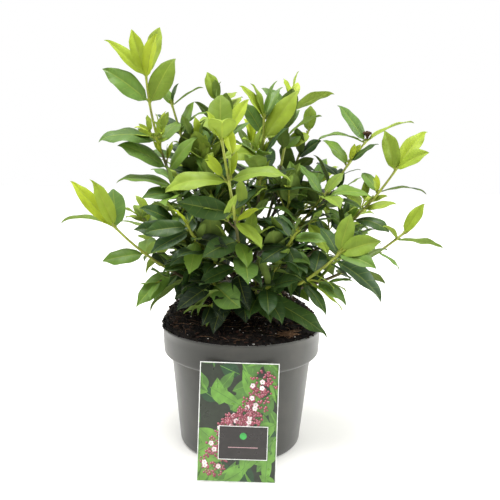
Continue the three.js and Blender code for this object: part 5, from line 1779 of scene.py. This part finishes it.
class SetStage(bpy.types.Operator):
    """Set the camera, the soft light and the pale floor."""
    bl_idname = "laurustinus.set_stage"
    bl_label = "Set stage"

    def execute(self, context):
        settings = context.scene.laurustinus_stage
        self.set_camera(context.scene, settings)
        self.set_light(context.scene, settings)
        self.lay_floor(settings)
        context.scene.view_settings.view_transform = "Standard"
        return {"FINISHED"}

    def set_camera(self, scene, settings):
        """The camera at the photograph's place, pitched down and leaning a little."""
        data = bpy.data.cameras.new("camera")
        data.lens, data.sensor_width, data.clip_end = settings.lens, 36, 50
        camera = bpy.data.objects.new("camera", data)
        scene.collection.objects.link(camera)
        pitch, roll = settings.pitch, settings.roll
        right, forward = Vector((1, 0, 0)), Vector((0, math.cos(pitch), -math.sin(pitch)))
        up = right.cross(forward)
        leaned = right * math.cos(roll) + up * math.sin(roll)
        raised = up * math.cos(roll) - right * math.sin(roll)
        turned_to = Matrix((leaned, raised, -forward)).transposed().to_4x4()
        camera.matrix_world = Matrix.Translation(settings.eye) @ turned_to
        scene.camera = camera

    def set_light(self, scene, settings):
        """Even white light that is weaker from the front, and soft lamps above and at the sides."""
        world = bpy.data.worlds.new("even_daylight")
        world.use_nodes = True
        sky = world.node_tree.nodes["Background"]
        nodes, links = world.node_tree.nodes, world.node_tree.links
        place = nodes.new("ShaderNodeTexCoord")
        axes = nodes.new("ShaderNodeSeparateXYZ")
        links.new(place.outputs["Generated"], axes.inputs["Vector"])
        depth = nodes.new("ShaderNodeMapRange")
        links.new(axes.outputs["Y"], depth.inputs["Value"])
        set_range(depth, -0.9, -0.1, settings.front_light, settings.daylight)
        sky.inputs["Color"].default_value = (1, 1, 1, 1)
        links.new(depth.outputs["Result"], sky.inputs["Strength"])
        scene.world = world
        for name, spot, power, size in KEY_LIGHTS:
            data = bpy.data.lights.new(name, "AREA")
            data.shape, data.size, data.energy = "DISK", size, power * settings.key_power
            light = bpy.data.objects.new(name, data)
            light.location = spot
            aim = Vector(LIGHT_AIM) - Vector(spot)
            light.rotation_euler = aim.to_track_quat("-Z", "Y").to_euler()
            scene.collection.objects.link(light)

    def lay_floor(self, settings):
        """A wide plain floor under the pot."""
        mesh = bpy.data.meshes.new("floor")
        side = FLOOR_HALF_SIDE
        corners = [(-side, -side, 0), (side, -side, 0), (side, side, 0), (-side, side, 0)]
        mesh.from_pydata(corners, [], [(0, 1, 2, 3)])
        floor = bpy.data.objects.new("floor", mesh)
        bpy.context.scene.collection.objects.link(floor)
        finish = mottled("floor_pale", tuple(settings.floor), 0.7, 60, 0.02, 0.015, 0.2)
        self.far_floor_painted_glow(finish)
        mesh.materials.append(finish.material)

    @staticmethod
    def far_floor_painted_glow(finish):
        """Makes the floor glow more and more away from the lamps, painted light that lets it fade into the
        white room behind it.
        """
        place = finish.add("ShaderNodeNewGeometry").outputs["Position"]
        distance = finish.add("ShaderNodeVectorMath", Vector=place)
        distance.operation = "LENGTH"
        finish.shader.inputs["Emission Color"].default_value = (1, 1, 1, 1)
        # The far floor's glow is painted light, not a lamp.
        glow = finish.between(distance.outputs["Value"], 0.5, 2.0, 0, 0.4)
        finish.feed(finish.shader.inputs["Emission Strength"], glow)


PIECES = (MakePot, FillPeat, PrintCard, GrowLimbs, GrowStems, GrowLeaves, GrowBuds, SetStage)


class LaurustinusPanel(bpy.types.Panel):
    """Steps that build the shrub, and their sizes and colours."""
    bl_idname = "VIEW3D_PT_laurustinus"
    bl_label = "Potted laurustinus"
    bl_space_type = "VIEW_3D"
    bl_region_type = "UI"
    bl_category = "Laurustinus"

    def draw(self, context):
        for step in PIECES:
            self.layout.operator(step.bl_idname)
        for name, kind in SETTINGS.items():
            box = self.layout.box()
            box.label(text=kind.__doc__)
            for value in kind.__annotations__:
                box.prop(getattr(context.scene, name), value)


def register():
    """Makes the settings, steps and panel known to Blender."""
    for kind in (*SETTINGS.values(), *PIECES, LaurustinusPanel):
        bpy.utils.register_class(kind)
    for name, kind in SETTINGS.items():
        setattr(bpy.types.Scene, name, bpy.props.PointerProperty(type=kind))


def unregister():
    """Takes them away again."""
    for name in SETTINGS:
        delattr(bpy.types.Scene, name)
    for kind in reversed((*SETTINGS.values(), *PIECES, LaurustinusPanel)):
        bpy.utils.unregister_class(kind)


def main():
    register()
    for step in PIECES:
        group, name = step.bl_idname.split(".")
        getattr(getattr(bpy.ops, group), name)()


if __name__ == "__main__":
    main()
